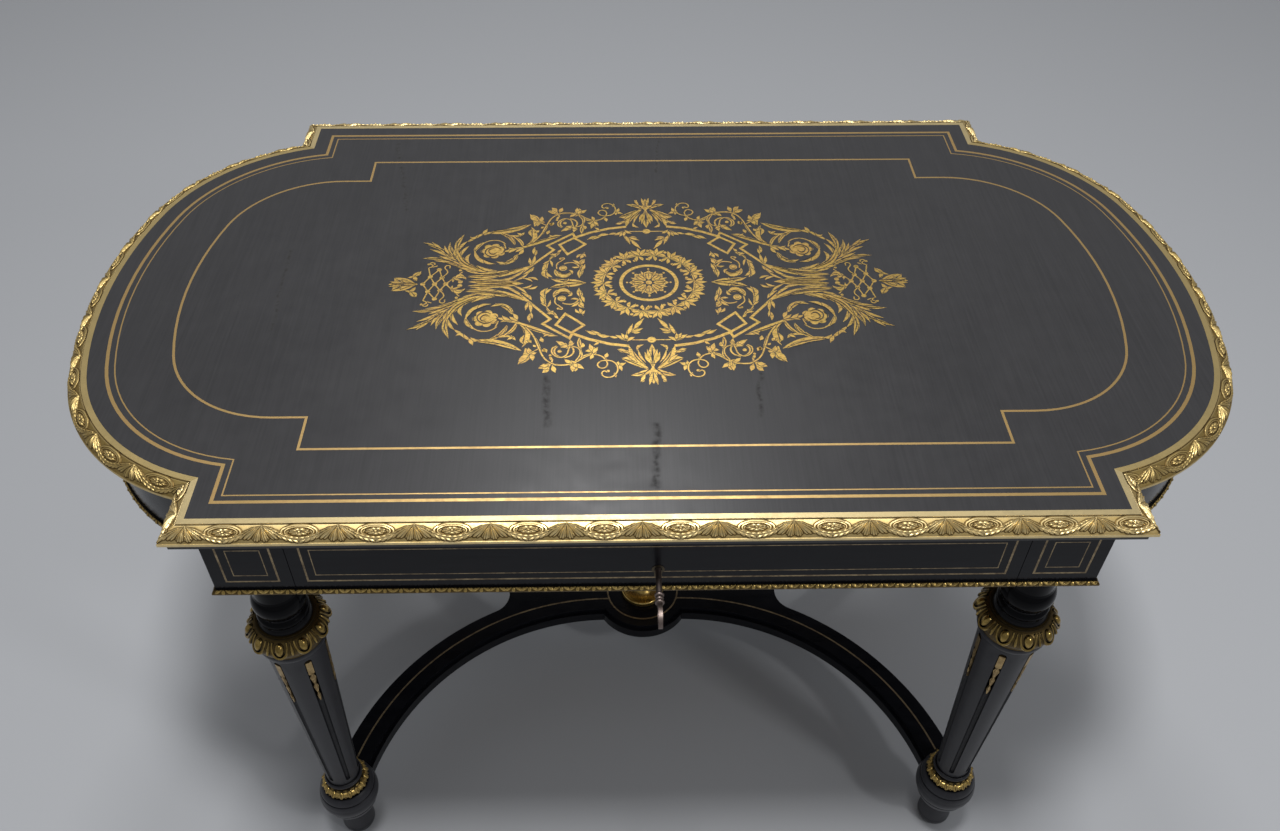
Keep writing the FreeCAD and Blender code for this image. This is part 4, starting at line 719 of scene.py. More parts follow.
# Ridges of one half of a spray: angle from the middle, length, width and height
RIDGES = [(6, 15.2, 3.0, 4.6), (13.5, 16.7, 3.7, 6.8), (22, 17.1, 3.7, 6.4), (30.5, 16.2, 3.0, 4.6),
          (44, 19.6, 3.2, 5.0), (52, 22.2, 4.0, 7.2), (60, 23.0, 3.6, 6.2), (70, 20.0, 2.4, 3.8)]


def acanthus_spray(rim=0.0):
    """A ribbed leaf, split down its middle, that spreads to both sides of a bud at the top line."""
    ridge, bud = petal(UNIT, UNIT, UNIT, RIDGE_TAPER), petal(5.0 + rim, 2.8 + rim, 4.0)
    parts = [moved(bud, 0, -0.2, 0.2)]
    for angle, length, width, height in RIDGES:
        for side in (-1, 1):
            size = ((width + rim) / UNIT, (length + rim / 2) / UNIT, height / UNIT)
            parts.append(copied(ridge, (0, -1.0 * MM, 0), side * math.radians(angle), size))
    forget(ridge)
    return joined(parts, "spray")

# %% Model the rosette in its rings
# Rings: half length, half width and radius of the cord
OVAL_RINGS = [(18.0, 6.9, 1.2), (14.6, 5.3, 0.75)]
FLOWER_PETALS = 9
FLOWER_STRETCH = (2.5, 0.98, 1)


def oval_rosette(rim=0.0):
    """Boss and petals inside two oval rings."""
    rings = [oval_cord(length, width, radius + rim / 2) for length, width, radius in OVAL_RINGS]
    leaf = petal(4.3 + rim / 3, 2.9, 4.4, 0.7, segments=7, rings=6)
    petals = [copied(leaf, turn_z=2 * math.pi * i / FLOWER_PETALS) for i in range(FLOWER_PETALS)]
    flower = joined(petals, "flower")
    flower.scale = FLOWER_STRETCH
    settle(flower)
    boss = moved(petal(3.6 + rim, 4.4 + rim, 7.0), 0, 1.8 + rim / 2)
    forget(leaf)
    return joined(rings + [flower, boss], "oval")

# %% Model the garland
GARLAND_START = 4.0
GARLAND_TOP = 2.6
GARLAND_SAG = 12.7
GARLAND_RADIUS = 1.9
GARLAND_SWELL = (0.5, 0.75, 0.9, 1, 1, 1, 0.9, 0.75, 0.5)
GARLAND_LEAVES = 6
LEAF_LIFT = 0.7


def on_garland(share):
    """Point on the left half of the garland, from its spray to its lowest place."""
    x = GARLAND_START + (REPEAT / 2 - GARLAND_START) * share
    return x, -GARLAND_TOP - GARLAND_SAG * math.sin(share * math.pi / 2)


def garland(rim=0.0):
    """Leafy cord slung from one spray to the next."""
    half = [on_garland(i / 4) for i in range(5)]
    line = half + [(REPEAT - x, y) for x, y in reversed(half[:-1])]
    parts = [cord(line, GARLAND_RADIUS + rim / 2, swell=GARLAND_SWELL)]
    leaf = petal(8.0, 2.5 + rim, 3.4, 0.5, segments=7, rings=6)
    for i in range(GARLAND_LEAVES):
        share = (i + 0.2) / (GARLAND_LEAVES + 0.6)
        (x, y), (next_x, next_y) = on_garland(share), on_garland(share + 0.05)
        turn_z = math.atan2(next_x - x, y - next_y)
        for off, spread in ((-0.8, -0.14), (0.9, 0.14)):
            x_off, y_off = x + off * math.cos(turn_z), y + off * math.sin(turn_z)
            left = (x_off * MM, y_off * MM, LEAF_LIFT * MM)
            right = ((REPEAT - x_off) * MM, y_off * MM, LEAF_LIFT * MM)
            parts.append(copied(leaf, left, turn_z + spread))
            parts.append(copied(leaf, right, -turn_z - spread))
    forget(leaf)
    return joined(parts, "garland")

# %% Put the repeat together
OVAL_DROP = 7.5
LIFT = 0.2
OUTLINE_RIM = 1.4
OUTLINE_RISE = 0.3


def motifs(rim=0.0):
    """One repeat, or with a rim the dark chased line and painted shade round everything in it."""
    oval = moved(oval_rosette(rim), REPEAT / 2, -OVAL_DROP, LIFT)
    repeat = joined([acanthus_spray(rim), oval, garland(rim)], "edge_repeat")
    if rim:
        repeat.scale = (1, 1, OUTLINE_RISE)
        moved(repeat, 0, 0, LIFT)
    return repeat


relief, outline = motifs(), motifs(OUTLINE_RIM)
print("relief %d, outline %d faces" % (len(relief.data.polygons), len(outline.data.polygons)))

# %% [markdown]
# The flat repeat is now laid on the slope of the CAD solid, which swells a little between its foot
# and its top. Moving each point by hand-written arithmetic is simpler here than a modifier.

# %% Lay the repeat on the slope
SLOPE_TOP = Vector((0, -16.1, -1.1)) * MM
SLOPE_FOOT = Vector((0, -1.2, -11.5)) * MM
SLOPE_SWELL = 1.7 * MM
SLOPE_LENGTH = (SLOPE_FOOT - SLOPE_TOP).length
SLOPE_ANGLE = math.atan2(SLOPE_TOP.z - SLOPE_FOOT.z, SLOPE_FOOT.y - SLOPE_TOP.y)


def laid_on_slope(piece):
    """Lift a flat piece onto the swelling slope: X along, Y outwards from the lip, Z from the top."""
    for point in piece.data.vertices:
        share = 2 * (-point.co.y / SLOPE_LENGTH) - 1
        point.co.z += SLOPE_SWELL * max(1 - share * share, 0)
    piece.matrix_world = (Matrix.Translation(SLOPE_TOP) @ Matrix.Rotation(-SLOPE_ANGLE, 4, "X")
                          @ Matrix.Rotation(math.pi, 4, "Z"))
    return smooth(settle(piece))


LAYERS = (("pattern", laid_on_slope(relief), gilt), ("outlines", laid_on_slope(outline), chased_line_and_shade))
print("layers of the edge:", [layer[0] for layer in LAYERS])

# %% [markdown]
# ## The straight edges
# The strip on the front starts with a spray 28 mm from the left corner and runs on to the right
# corner, where the mitre cuts the last oval, so its two ends differ. An array modifier repeats the
# motif, which keeps the step exact. The back has the same strip turned round.

# %% Run the pattern along the straight edges
FIRST_SPRAY = 28
FRONT_REPEATS = 13


def straight_run(side, layer, turn_z, place, side_y):
    """Copies of the repeat in a row, turned to face one side of the table and mitred."""
    kind, repeat, metal = layer
    row = in_a_row(copied(repeat), FRONT_REPEATS + 1, REPEAT * MM)
    moved(row, CORNER_X / MM - FIRST_SPRAY - (FRONT_REPEATS - 1) * REPEAT, 0)
    row.rotation_euler = (0, 0, turn_z)
    row.location = place
    settle(row)
    for side_x in (-1, 1):
        outer = (side_x * CORNER_X, place[1])
        inner = (side_x * (CORNER_X - EDGE_WIDTH), place[1] - side_y * EDGE_WIDTH)
        mitred(row, outer, inner, (0, place[1]))
    row.name = "edge_%s_%s" % (kind, side)
    dressed(row, "table", metal)


for layer in LAYERS:
    straight_run("front", layer, math.pi, (0, front_low.y, TOP_Z), -1)
    straight_run("back", layer, 0.0, (0, back_high.y, TOP_Z), 1)

# %% [markdown]
# ## The round ends
# The ends of the top are three arcs each: a broad one in the middle and a tighter one at each
# shoulder. Copies that are only turned would gape on the outside of the bend, so a straight row of
# repeats is bent along that line with a curve modifier. The line runs clockwise, so that the side of
# it which counts as left is the outside of the table.

# %% Draw the line of an end
# Radii of the outline in the CAD model, which no box can give
END_RADIUS = 623 * MM
SHOULDER_RADIUS = 263 * MM
SHOULDER_IN = 49 * MM
ARC_STEPS = 48
end_centre = END_X - END_RADIUS
shoulder_y = HALF_DEPTH - SHOULDER_IN - SHOULDER_RADIUS
shoulder_x = end_centre + math.sqrt((END_RADIUS - SHOULDER_RADIUS) ** 2 - shoulder_y ** 2)
lean = math.atan2(shoulder_y, shoulder_x - end_centre)


def end_line(inset, start_x):
    """Points round the right-hand end from the back to the front, at one distance inside the lip."""
    radius = SHOULDER_RADIUS - inset
    start = math.acos((start_x - shoulder_x) / radius)
    points = []
    for i in range(ARC_STEPS + 1):
        angle = start + (lean - start) * i / ARC_STEPS
        points.append((shoulder_x + radius * math.cos(angle), shoulder_y + radius * math.sin(angle)))
    for i in range(1, ARC_STEPS):
        angle = lean - 2 * lean * i / ARC_STEPS
        points.append((end_centre + (END_RADIUS - inset) * math.cos(angle),
                       (END_RADIUS - inset) * math.sin(angle)))
    return points + [(x, -y) for x, y in reversed(points[:ARC_STEPS + 1])]


def line_length(points):
    """Length of a line through points."""
    return sum(math.dist(a, b) for a, b in zip(points, points[1:]))


lip_line = end_line(0, CORNER_X)
lip_length = line_length(lip_line)
print("lip of one end: %.3f m" % lip_length)

# %% Bend the pattern round the ends
def bent_round_end(row, points):
    """Bend a straight row along the line of the right-hand end."""
    line = bpy.data.curves.new("end_line", "CURVE")
    line.dimensions = "3D"
    line.twist_mode = "Z_UP"
    spline = line.splines.new("POLY")
    spline.points.add(len(points) - 1)
    for knot, (x, y) in zip(spline.points, points):
        knot.co = (x, y, 0, 1)
    path = bpy.data.objects.new("end_line", line)
    bpy.context.scene.collection.objects.link(path)
    applied(row, "CURVE", object=path, deform_axis="POS_X")
    forget(path)


end_count = int(lip_length / (REPEAT * MM))
step_outer, step_inner = lip_line[0], end_line(EDGE_WIDTH, CORNER_X - EDGE_WIDTH)[0]
for kind, repeat, metal in LAYERS:
    row = in_a_row(copied(repeat), end_count + 2, REPEAT * MM)
    moved(row, (lip_length / MM - (end_count + 0.5) * REPEAT) / 2, 0)
    bent_round_end(row, lip_line)
    for side_y in (-1, 1):
        outer, inner = ((x, side_y * y) for x, y in (step_outer, step_inner))
        mitred(row, outer, inner, (END_X, 0))
    for side, turn_z in (("right", 0.0), ("left", math.pi)):
        end = copied(row, (0, CENTRE_Y, TOP_Z), turn_z)
        end.name = "edge_%s_%s" % (kind, side)
        dressed(end, "table", shaded_end_gilt if metal is gilt else metal)
    forget(row)
print("repeats round each end:", end_count)

# %% [markdown]
# ## The returns
# At each of the four steps a short return joins the straight edge to the round end. It holds one
# spray between two parts of an oval, so two repeats are laid there and both mitres cut them to length.

# %% Fill the returns
return_y = (HALF_DEPTH + step_outer[1]) / 2


def on_return(repeat, side_x, side_y):
    """A spray between two half ovals on one short return, mitred at both ends."""
    piece = in_a_row(copied(repeat), 2, REPEAT * MM)
    middle = (side_x * CORNER_X, side_y * return_y)
    piece.location = (*middle, TOP_Z)
    piece.rotation_euler = (0, 0, -side_x * math.pi / 2)
    settle(piece)
    corner = (CORNER_X, HALF_DEPTH), (CORNER_X - EDGE_WIDTH, HALF_DEPTH - EDGE_WIDTH)
    for mitre in (corner, (step_outer, step_inner)):
        outer, inner = ((side_x * x, side_y * y) for x, y in mitre)
        mitred(piece, outer, inner, middle)
    piece.location = (0, CENTRE_Y, 0)
    return settle(piece)


for kind, repeat, metal in LAYERS:
    four = [on_return(repeat, side_x, side_y) for side_x in (-1, 1) for side_y in (-1, 1)]
    dressed(joined(four, "edge_%s_returns" % kind), "table", metal)
    forget(repeat)

# %% [markdown]
# ## Collars of the legs
# Above each shaft sits a gilt collar of egg and dart: smooth eggs in raised shells, with a pointed
# leaf between them. Below each shaft a smaller collar has a ring of leaves. One egg or leaf is laid
# on the collar's slope, and spin copies it round the axis, which needs no sums for the other places.

# %% Lay a piece on a collar and spin it
def laid_on_collar(piece, radius, height, tilt):
    """Stand a flat piece on the +X side of a collar: +Y up the slope, Z out of it."""
    tilt = math.radians(tilt)
    out = Vector((math.cos(tilt), 0, math.sin(tilt)))
    up = Vector((-math.sin(tilt), 0, math.cos(tilt)))
    turn = Matrix((Vector((0, 1, 0)), up, out)).transposed().to_4x4()
    piece.matrix_world = Matrix.Translation((radius * MM, 0, height * MM)) @ turn
    return settle(piece)


def spun(piece, count):
    """Copies of a piece round the Z axis."""
    select_only(piece)
    bpy.ops.object.mode_set(mode="EDIT")
    bpy.ops.mesh.select_all(action="SELECT")
    bpy.ops.mesh.spin(steps=count - 1, dupli=True, angle=2 * math.pi * (count - 1) / count,
                      center=(0, 0, 0), axis=(0, 0, 1))
    bpy.ops.object.mode_set(mode="OBJECT")
    return smooth(piece)

# %% Model the egg and dart
EGGS = 10
HALF_AN_EGG = math.pi / EGGS
# Seat of an ornament: distance from the axis, height above the collar's foot, and tilt in degrees
EGG_SEAT = (43.4, 20.4, 33)
SHELL_SWELL = (0.6, 0.9, 1, 1, 1, 0.9, 0.6)


def shell(half_width, top, bottom, radius):
    """U-shaped cord round an egg."""
    points = [(-half_width * 0.92, top), (-half_width, top / 5), (-half_width * 0.66, bottom * 0.72),
              (0, bottom)]
    points += [(-x, y) for x, y in reversed(points[:-1])]
    return cord(points, radius, swell=SHELL_SWELL)


def egg_and_dart():
    """One egg in its shells, and the dart on the way to the next egg."""
    egg = moved(petal(17.0, 11.6, 11.0, -0.25, segments=14, rings=10), 0, 8.8, 0.4)
    around = shell(half_width=8.9, top=9.4, bottom=-10.6, radius=2.1)
    unit = laid_on_collar(joined([egg, around], "egg"), *EGG_SEAT)
    dart = laid_on_collar(moved(petal(18.5, 5.0, 6.8, 0.5, rings=8), 0, 9.2, 0.2), *EGG_SEAT)
    dart.rotation_euler = (0, 0, HALF_AN_EGG)
    return joined([unit, settle(dart)], "egg_and_dart")


eggs = spun(egg_and_dart(), EGGS)
print("egg and dart: %d faces" % len(eggs.data.polygons))

# %% Model the leaves of the lower collar
LEAVES = 16
LEAF_SEAT = (29.2, 7.8, 40)


def collar_leaf():
    """One leaf with a rib, and a small dart beside it."""
    leaf = moved(petal(11.5, 7.6, 6.6, -0.2), 0, 5.8, 0.3)
    rib = moved(petal(10.6, 1.6, 8.2, segments=6, rings=6), 0, 5.4, 0.3)
    unit = laid_on_collar(joined([leaf, rib], "leaf"), *LEAF_SEAT)
    dart = laid_on_collar(moved(petal(7.0, 2.4, 4.0, 0.5, segments=6, rings=6), 0, 2.0), *LEAF_SEAT)
    dart.rotation_euler = (0, 0, math.pi / LEAVES)
    return joined([unit, settle(dart)], "collar_leaf")


leaves = spun(collar_leaf(), LEAVES)
print("leaves: %d faces" % len(leaves.data.polygons))

# %% Set the collars on the four legs
def seat_of(node):
    """The middle of a node's foot."""
    low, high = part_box(node)
    return ((low.x + high.x) / 2, (low.y + high.y) / 2, low.z)


for leg in LEGS:
    upper = copied(eggs, seat_of("upper_collar_" + leg), HALF_AN_EGG)
    upper.name = "egg_and_dart_" + leg
    dressed(upper, "table", collar_gilt)
    lower = copied(leaves, seat_of("lower_collar_" + leg))
    lower.name = "collar_leaves_" + leg
    dressed(lower, "table", dull_gilt)
forget(eggs, leaves)

# %% [markdown]
# ## Leaves under the frieze
# A narrow gilt strip under the frieze repeats a small pointed leaf between slanting ones. It goes all
# round the table, some two hundred times, so each petal has only a few dozen faces. The stretch
# under the drawer is a piece of its own, because it slides out with the drawer.

# %% Model the small repeat
SMALL_REPEAT = 17.2
STRIP_LEAN = math.radians(57)
STRIP_SQUEEZE = (1, 0.84, 0.9)
STRIP_SINK, STRIP_LIFT = 1.3 * MM, 2.2 * MM
# Slanting leaves at each side: place along and across, turn in degrees, and scale of the blade
SLANTING = [(1.6, 3.0, 58, (0.95, 1.3, 0.9)), (6.0, 3.2, 30, (0.6, 0.9, 0.7))]
strip_low, strip_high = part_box("drawer_mount")
strip_middle = (strip_low.z + strip_high.z) / 2 - FRIEZE_BOTTOM
strip_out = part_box("drawer_front")[0].y - strip_low.y


def small_leaves():
    """Leaf, slanting leaves and a bead, laid on the upper side of the strip: X along, Y outwards, Z up."""
    blade = petal(7.2, 3.8, 3.4, 0.5, segments=6, rings=5)
    parts = [copied(blade, (0, 3.6 * MM, 0), scale=(1.2, 1, 1.1))]
    for side in (-1, 1):
        for x, y, degrees, scale in SLANTING:
            parts.append(copied(blade, (side * x * MM, y * MM, 0), side * math.radians(degrees), scale))
    parts.append(moved(petal(3.4, 3.4, 3.4, segments=6, rings=5), SMALL_REPEAT / 2, 1.7))
    forget(blade)
    unit = joined(parts, "small_leaves")
    unit.scale = STRIP_SQUEEZE
    settle(unit)
    unit.rotation_euler = (STRIP_LEAN, 0, math.pi)
    settle(unit)
    unit.location = (0, strip_out - STRIP_SINK, strip_middle + STRIP_LIFT)
    return smooth(settle(unit))


small = small_leaves()
print("small repeat: %d faces" % len(small.data.polygons))

# %% Run it along the drawer, the blocks and the back
def small_run(start_x, end_x, y, turn_z):
    """Small leaves along a straight stretch, which faces the front or the back."""
    length = abs(end_x - start_x)
    count = max(int(length / (SMALL_REPEAT * MM)), 1)
    row = in_a_row(copied(small), count, length / count)
    row.location = (-(count - 1) * length / count / 2, 0, 0)
    settle(row)
    row.rotation_euler = (0, 0, turn_z)
    row.location = ((start_x + end_x) / 2, y, FRIEZE_BOTTOM)
    return settle(row)


drawer_low, drawer_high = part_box("drawer_front")
block_low, block_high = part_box("corner_block_back_right")
inner_x, outer_x, back_y, front_y = block_low.x, block_high.x, block_high.y, drawer_low.y
drawer_leaves = small_run(drawer_low.x, drawer_high.x, front_y, math.pi)
drawer_leaves.name = "drawer_leaves"
dressed(drawer_leaves, "drawer", dull_gilt)

fronts = [small_run(side * inner_x, side * outer_x, front_y, math.pi) for side in (-1, 1)]
backs = [small_run(side * inner_x, side * outer_x, back_y, 0) for side in (-1, 1)]
backs.append(small_run(-inner_x, inner_x, back_y, 0))
print("straight stretches:", 1 + len(fronts) + len(backs))

# %% Bend it round the ends
rail_line = end_line(END_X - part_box("end_rail_right")[1].x, outer_x)
rail_length = line_length(rail_line)
small_count = int(rail_length / (SMALL_REPEAT * MM))
end_leaves = in_a_row(copied(small), small_count, SMALL_REPEAT * MM)
moved(end_leaves, (rail_length / MM - (small_count - 1) * SMALL_REPEAT) / 2, 0)
bent_round_end(end_leaves, rail_line)
ends = [copied(end_leaves, (0, CENTRE_Y, FRIEZE_BOTTOM), angle) for angle in (0, math.pi)]
forget(end_leaves, small)
dressed(joined(fronts + backs + ends, "frieze_leaves"), "table", dull_gilt)
print("small repeats round each end:", small_count)

# %% [markdown]
# ## Husks in the flutes
# The head of each flute holds a gilt bar, and below it hangs a chain of bell-shaped husks that get
# smaller. The CAD fillet gives their outline, and each husk is dressed here with three petals. The
# chain is made once, on one side of a shaft, and copied to every flute.

# %% Hang the husks
FLUTES = 6
FIRST_FLUTE = math.radians(-115)
# Shaft: height and radius at its foot and at its head, in millimetres
SHAFT = ((151.0, 22.8), (488.0, 36.8))
SHAFT_LEAN = math.degrees(math.atan2(SHAFT[0][1] - SHAFT[1][1], SHAFT[1][0] - SHAFT[0][0]))
HUSK_TOPS = (449.0, 428.0, 407.0)
HUSK_SHRINK = 0.17
SIDE_TURN, SIDE_SCALE = 0.13, (0.8, 0.72, 1)


def shaft_radius(z):
    """Radius of the tapering shaft at one height, in millimetres."""
    (low, thin), (high, thick) = SHAFT
    return thin + (thick - thin) * (z - low) / (high - low)


def husk_chain():
    """Three husks on the +X side of a shaft."""
    husks = []
    for i, top in enumerate(HUSK_TOPS):
        size = 1 - HUSK_SHRINK * i
        blade = petal(20 * size, 2.9 * size, 2.0, 0.35, segments=7, rings=6)
        parts = [copied(blade, (0, 0, 0.4 * MM))]
        parts += [copied(blade, (0, -1.5 * MM, 0), side * SIDE_TURN, SIDE_SCALE) for side in (-1, 1)]
        forget(blade)
        husks.append(laid_on_collar(joined(parts, "husk"), shaft_radius(top) + 0.2, top, SHAFT_LEAN))
    return smooth(joined(husks, "husks"))


chain = husk_chain()
chains = []
for leg in LEGS:
    x, y, _ = seat_of("upper_collar_" + leg)
    first = FIRST_FLUTE if "front" in leg else -FIRST_FLUTE
    chains += [copied(chain, (x, y, 0), first + 2 * math.pi * i / FLUTES) for i in range(FLUTES)]
forget(chain)
dressed(joined(chains, "flute_husks"), "table", fillet_brass)

# %% [markdown]
# ## Brass tendrils
# The marquetry in the middle of the top is cut from sheet brass. The CAD model holds its main
# forms, and this step draws what the saw made between them: small leaves, stems, berries and the
# lobes of the acanthus. Each is a stroke whose width swells and fades, as a pen draws it, so a
# curve with a flat section and a width at every point suits it better than an outline with many
# corners. One quarter is drawn and mirrored both ways.

# %% Sprigs over and under the wreath
# Leaves: stalk, bend and tip in millimetres from the middle of the top, and the greatest width
SPRIGS = [
    ((79, 93), (71, 98), (63, 101), 5.0), ((66, 100), (57, 104), (49, 104), 5.5),
    ((51, 104), (45, 106), (39, 107), 4.0), ((72, 93), (66, 97), (60, 100), 3.0),
    ((43, 102), (37, 106), (29, 111), 5.0), ((36, 99), (33, 105), (28, 112), 4.5),
    ((30, 99), (30, 106), (27, 113), 4.0), ((20, 106), (25, 109), (29, 114), 4.5),
    ((28, 101), (26, 94), (22, 81), 4.5), ((21, 92), (16, 83), (8, 71), 5.5),
    ((23, 96), (17, 94), (10, 90), 4.5), ((24, 97), (18, 98), (13, 97), 3.0),
    ((9, 133), (6, 144), (2, 155), 5.0), ((10, 120), (16, 123), (18, 131), 4.0),
    ((17, 128), (14, 141), (8, 152), 3.0), ((36, 126), (33, 131), (27, 136), 4.5),
    ((41, 128), (36, 129), (30, 131), 4.0), ((36, 144), (28, 144), (20, 150), 5.0),
    ((30, 138), (24, 144), (18, 152), 4.0), ((26, 174), (17, 172), (6, 165), 6.0),
    ((18, 170), (12, 168), (5, 163), 3.5), ((15, 185), (12, 179), (9, 171), 4.0),
    ((5, 190), (3, 180), (1, 168), 4.0), ((6, 128), (4, 140), (1, 150), 4.0),
]
print("sprigs:", len(SPRIGS))

# %% Leaves of the vine
VINE_LEAVES = [
    ((114, 112), (107, 117), (101, 123), 6.0), ((108, 124), (103, 122), (98, 120), 5.0),
    ((97, 110), (96, 116), (98, 122), 5.0), ((92, 116), (96, 119), (100, 122), 4.0),
    ((82, 116), (82, 121), (85, 125), 5.0), ((79, 131), (74, 130), (68, 128), 5.5),
    ((74, 118), (72, 125), (70, 134), 5.5), ((64, 124), (67, 129), (70, 136), 5.0),
    ((73, 146), (71, 141), (70, 135), 4.5), ((63, 113), (65, 117), (69, 120), 3.5),
    ((53, 134), (54, 139), (56, 143), 5.0), ((31, 152), (37, 155), (43, 158), 5.0),
    ((36, 166), (38, 160), (42, 155), 5.0), ((40, 149), (41, 154), (43, 159), 4.5),
    ((43, 177), (44, 173), (45, 169), 4.0), ((80, 162), (86, 157), (92, 152), 6.0),
    ((93, 167), (93, 160), (92, 152), 6.0), ((103, 145), (99, 149), (93, 152), 5.0),
    ((88, 160), (90, 156), (92, 152), 5.0), ((131, 156), (126, 156), (121, 154), 6.5),
    ((128, 168), (124, 164), (120, 157), 6.5), ((113, 168), (115, 162), (117, 155), 6.0),
    ((121, 139), (119, 143), (118, 148), 3.5), ((157, 153), (151, 142), (144, 134), 7.5),
    ((140, 147), (141, 140), (143, 134), 6.0), ((146, 124), (145, 130), (143, 136), 6.0),
    ((136, 133), (139, 134), (144, 135), 4.0), ((128, 125), (126, 129), (124, 133), 5.0),
    ((132, 105), (131, 110), (129, 114), 5.0), ((147, 109), (145, 112), (143, 115), 4.5),
    ((141, 119), (139, 121), (137, 123), 3.5),
]
print("vine leaves:", len(VINE_LEAVES))

# %% Leaves between the wreath and the scroll
SCROLL_LEAVES = [
    ((124, 9), (113, 4), (98, 6), 5.0), ((112, 5), (96, 5), (79, 0), 5.0),
    ((101, 9), (103, 4), (108, 2), 3.0), ((119, 24), (108, 14), (97, 20), 6.5),
    ((97, 18), (98, 24), (102, 27), 3.5), ((88, 10), (88, 20), (85, 32), 5.5),
    ((86, 24), (83, 31), (81, 39), 4.0), ((98, 33), (93, 32), (87, 34), 3.5),
    ((97, 48), (92, 44), (87, 38), 4.0), ((82, 49), (84, 43), (87, 38), 4.5),
    ((92, 52), (90, 57), (86, 61), 3.5), ((87, 51), (85, 56), (82, 65), 4.5),
    ((80, 55), (82, 59), (83, 63), 3.0), ((130, 11), (134, 20), (130, 32), 5.0),
    ((122, 12), (127, 16), (130, 24), 4.0), ((123, 34), (124, 42), (127, 49), 3.0),
    ((135, 40), (131, 43), (127, 48), 3.0), ((119, 55), (121, 59), (124, 63), 5.0),
    ((127, 60), (122, 60), (117, 63), 3.5), ((117, 64), (115, 67), (112, 71), 4.0),
    ((140, 6), (145, 10), (153, 12), 4.0), ((147, 3), (152, 8), (160, 10), 3.5),
    ((155, 20), (150, 27), (146, 34), 4.5), ((160, 18), (153, 24), (150, 30), 4.0),
    ((153, 54), (152, 45), (150, 36), 4.0), ((146, 60), (147, 48), (149, 38), 4.0),
    ((147, 77), (148, 68), (146, 58), 4.5), ((144, 70), (145, 64), (146, 58), 3.0),
]
print("scroll leaves:", len(SCROLL_LEAVES))

# %% Fronds at the end
FROND_LEAVES = [
    ((230, 13), (205, 14), (178, 22), 5.0), ((222, 20), (200, 22), (172, 28), 4.0),
    ((212, 32), (205, 27), (192, 24), 4.0), ((220, 38), (210, 30), (196, 25), 4.5),
    ((262, 45), (250, 41), (238, 33), 4.0), ((276, 49), (262, 47), (248, 43), 4.0),
    ((291, 54), (277, 54), (262, 50), 5.0), ((271, 60), (261, 54), (250, 47), 4.0),
    ((284, 74), (272, 68), (258, 56), 4.0), ((294, 89), (281, 82), (266, 68), 5.0),
    ((283, 90), (274, 79), (262, 62), 4.5), ((266, 82), (262, 70), (255, 56), 4.0),
    ((259, 89), (258, 74), (252, 58), 4.5), ((252, 72), (251, 64), (249, 54), 3.5),
    ((242, 106), (247, 92), (248, 76), 5.0), ((236, 91), (242, 83), (246, 70), 4.0),
    ((233, 81), (239, 72), (242, 58), 4.0), ((230, 64), (234, 54), (229, 40), 4.5),
    ((236, 30), (226, 25), (212, 20), 4.0), ((246, 36), (236, 32), (224, 26), 4.0),
    ((212, 50), (208, 44), (196, 41), 4.5), ((196, 46), (188, 43), (178, 45), 4.0),
    ((172, 48), (172, 55), (167, 63), 4.0), ((217, 87), (222, 80), (225, 70), 4.0),
    ((168, 60), (164, 66), (162, 74), 5.0), ((172, 66), (168, 70), (160, 76), 4.0),
    ((181, 64), (176, 70), (170, 73), 5.0), ((182, 76), (176, 73), (168, 74), 4.0),
    ((216, 104), (212, 109), (204, 110), 5.0), ((212, 119), (215, 112), (218, 106), 5.0),
    ((234, 101), (229, 98), (224, 105), 4.5), ((190, 118), (174, 120), (160, 128), 5.0),
    ((186, 104), (180, 97), (174, 82), 5.0), ((168, 101), (165, 106), (162, 110), 4.0),
    ((172, 109), (168, 106), (164, 103), 4.0), ((132, 96), (124, 101), (112, 103), 4.0),
    ((129, 104), (126, 101), (120, 99), 3.0), ((152, 118), (155, 110), (152, 100), 4.5),
    ((225, 8), (210, 9), (190, 14), 3.5), ((188, 8), (178, 9), (165, 16), 4.0),
    ((170, 5), (160, 12), (152, 22), 3.5), ((176, 12), (166, 18), (158, 28), 4.0),
    ((246, 8), (240, 18), (233, 14), 4.0), ((248, 12), (243, 9), (236, 6), 3.0),
    ((322, 12), (319, 7), (312, 3), 4.0), ((327, 5), (318, 3), (308, 1), 5.0),
    ((312, 10), (308, 6), (300, 3), 4.0), ((300, 14), (296, 12), (293, 6), 5.0),
    ((290, 27), (292, 20), (297, 15), 4.0), ((306, 13), (300, 15), (295, 18), 4.0),
]
print("fronds:", len(FROND_LEAVES))

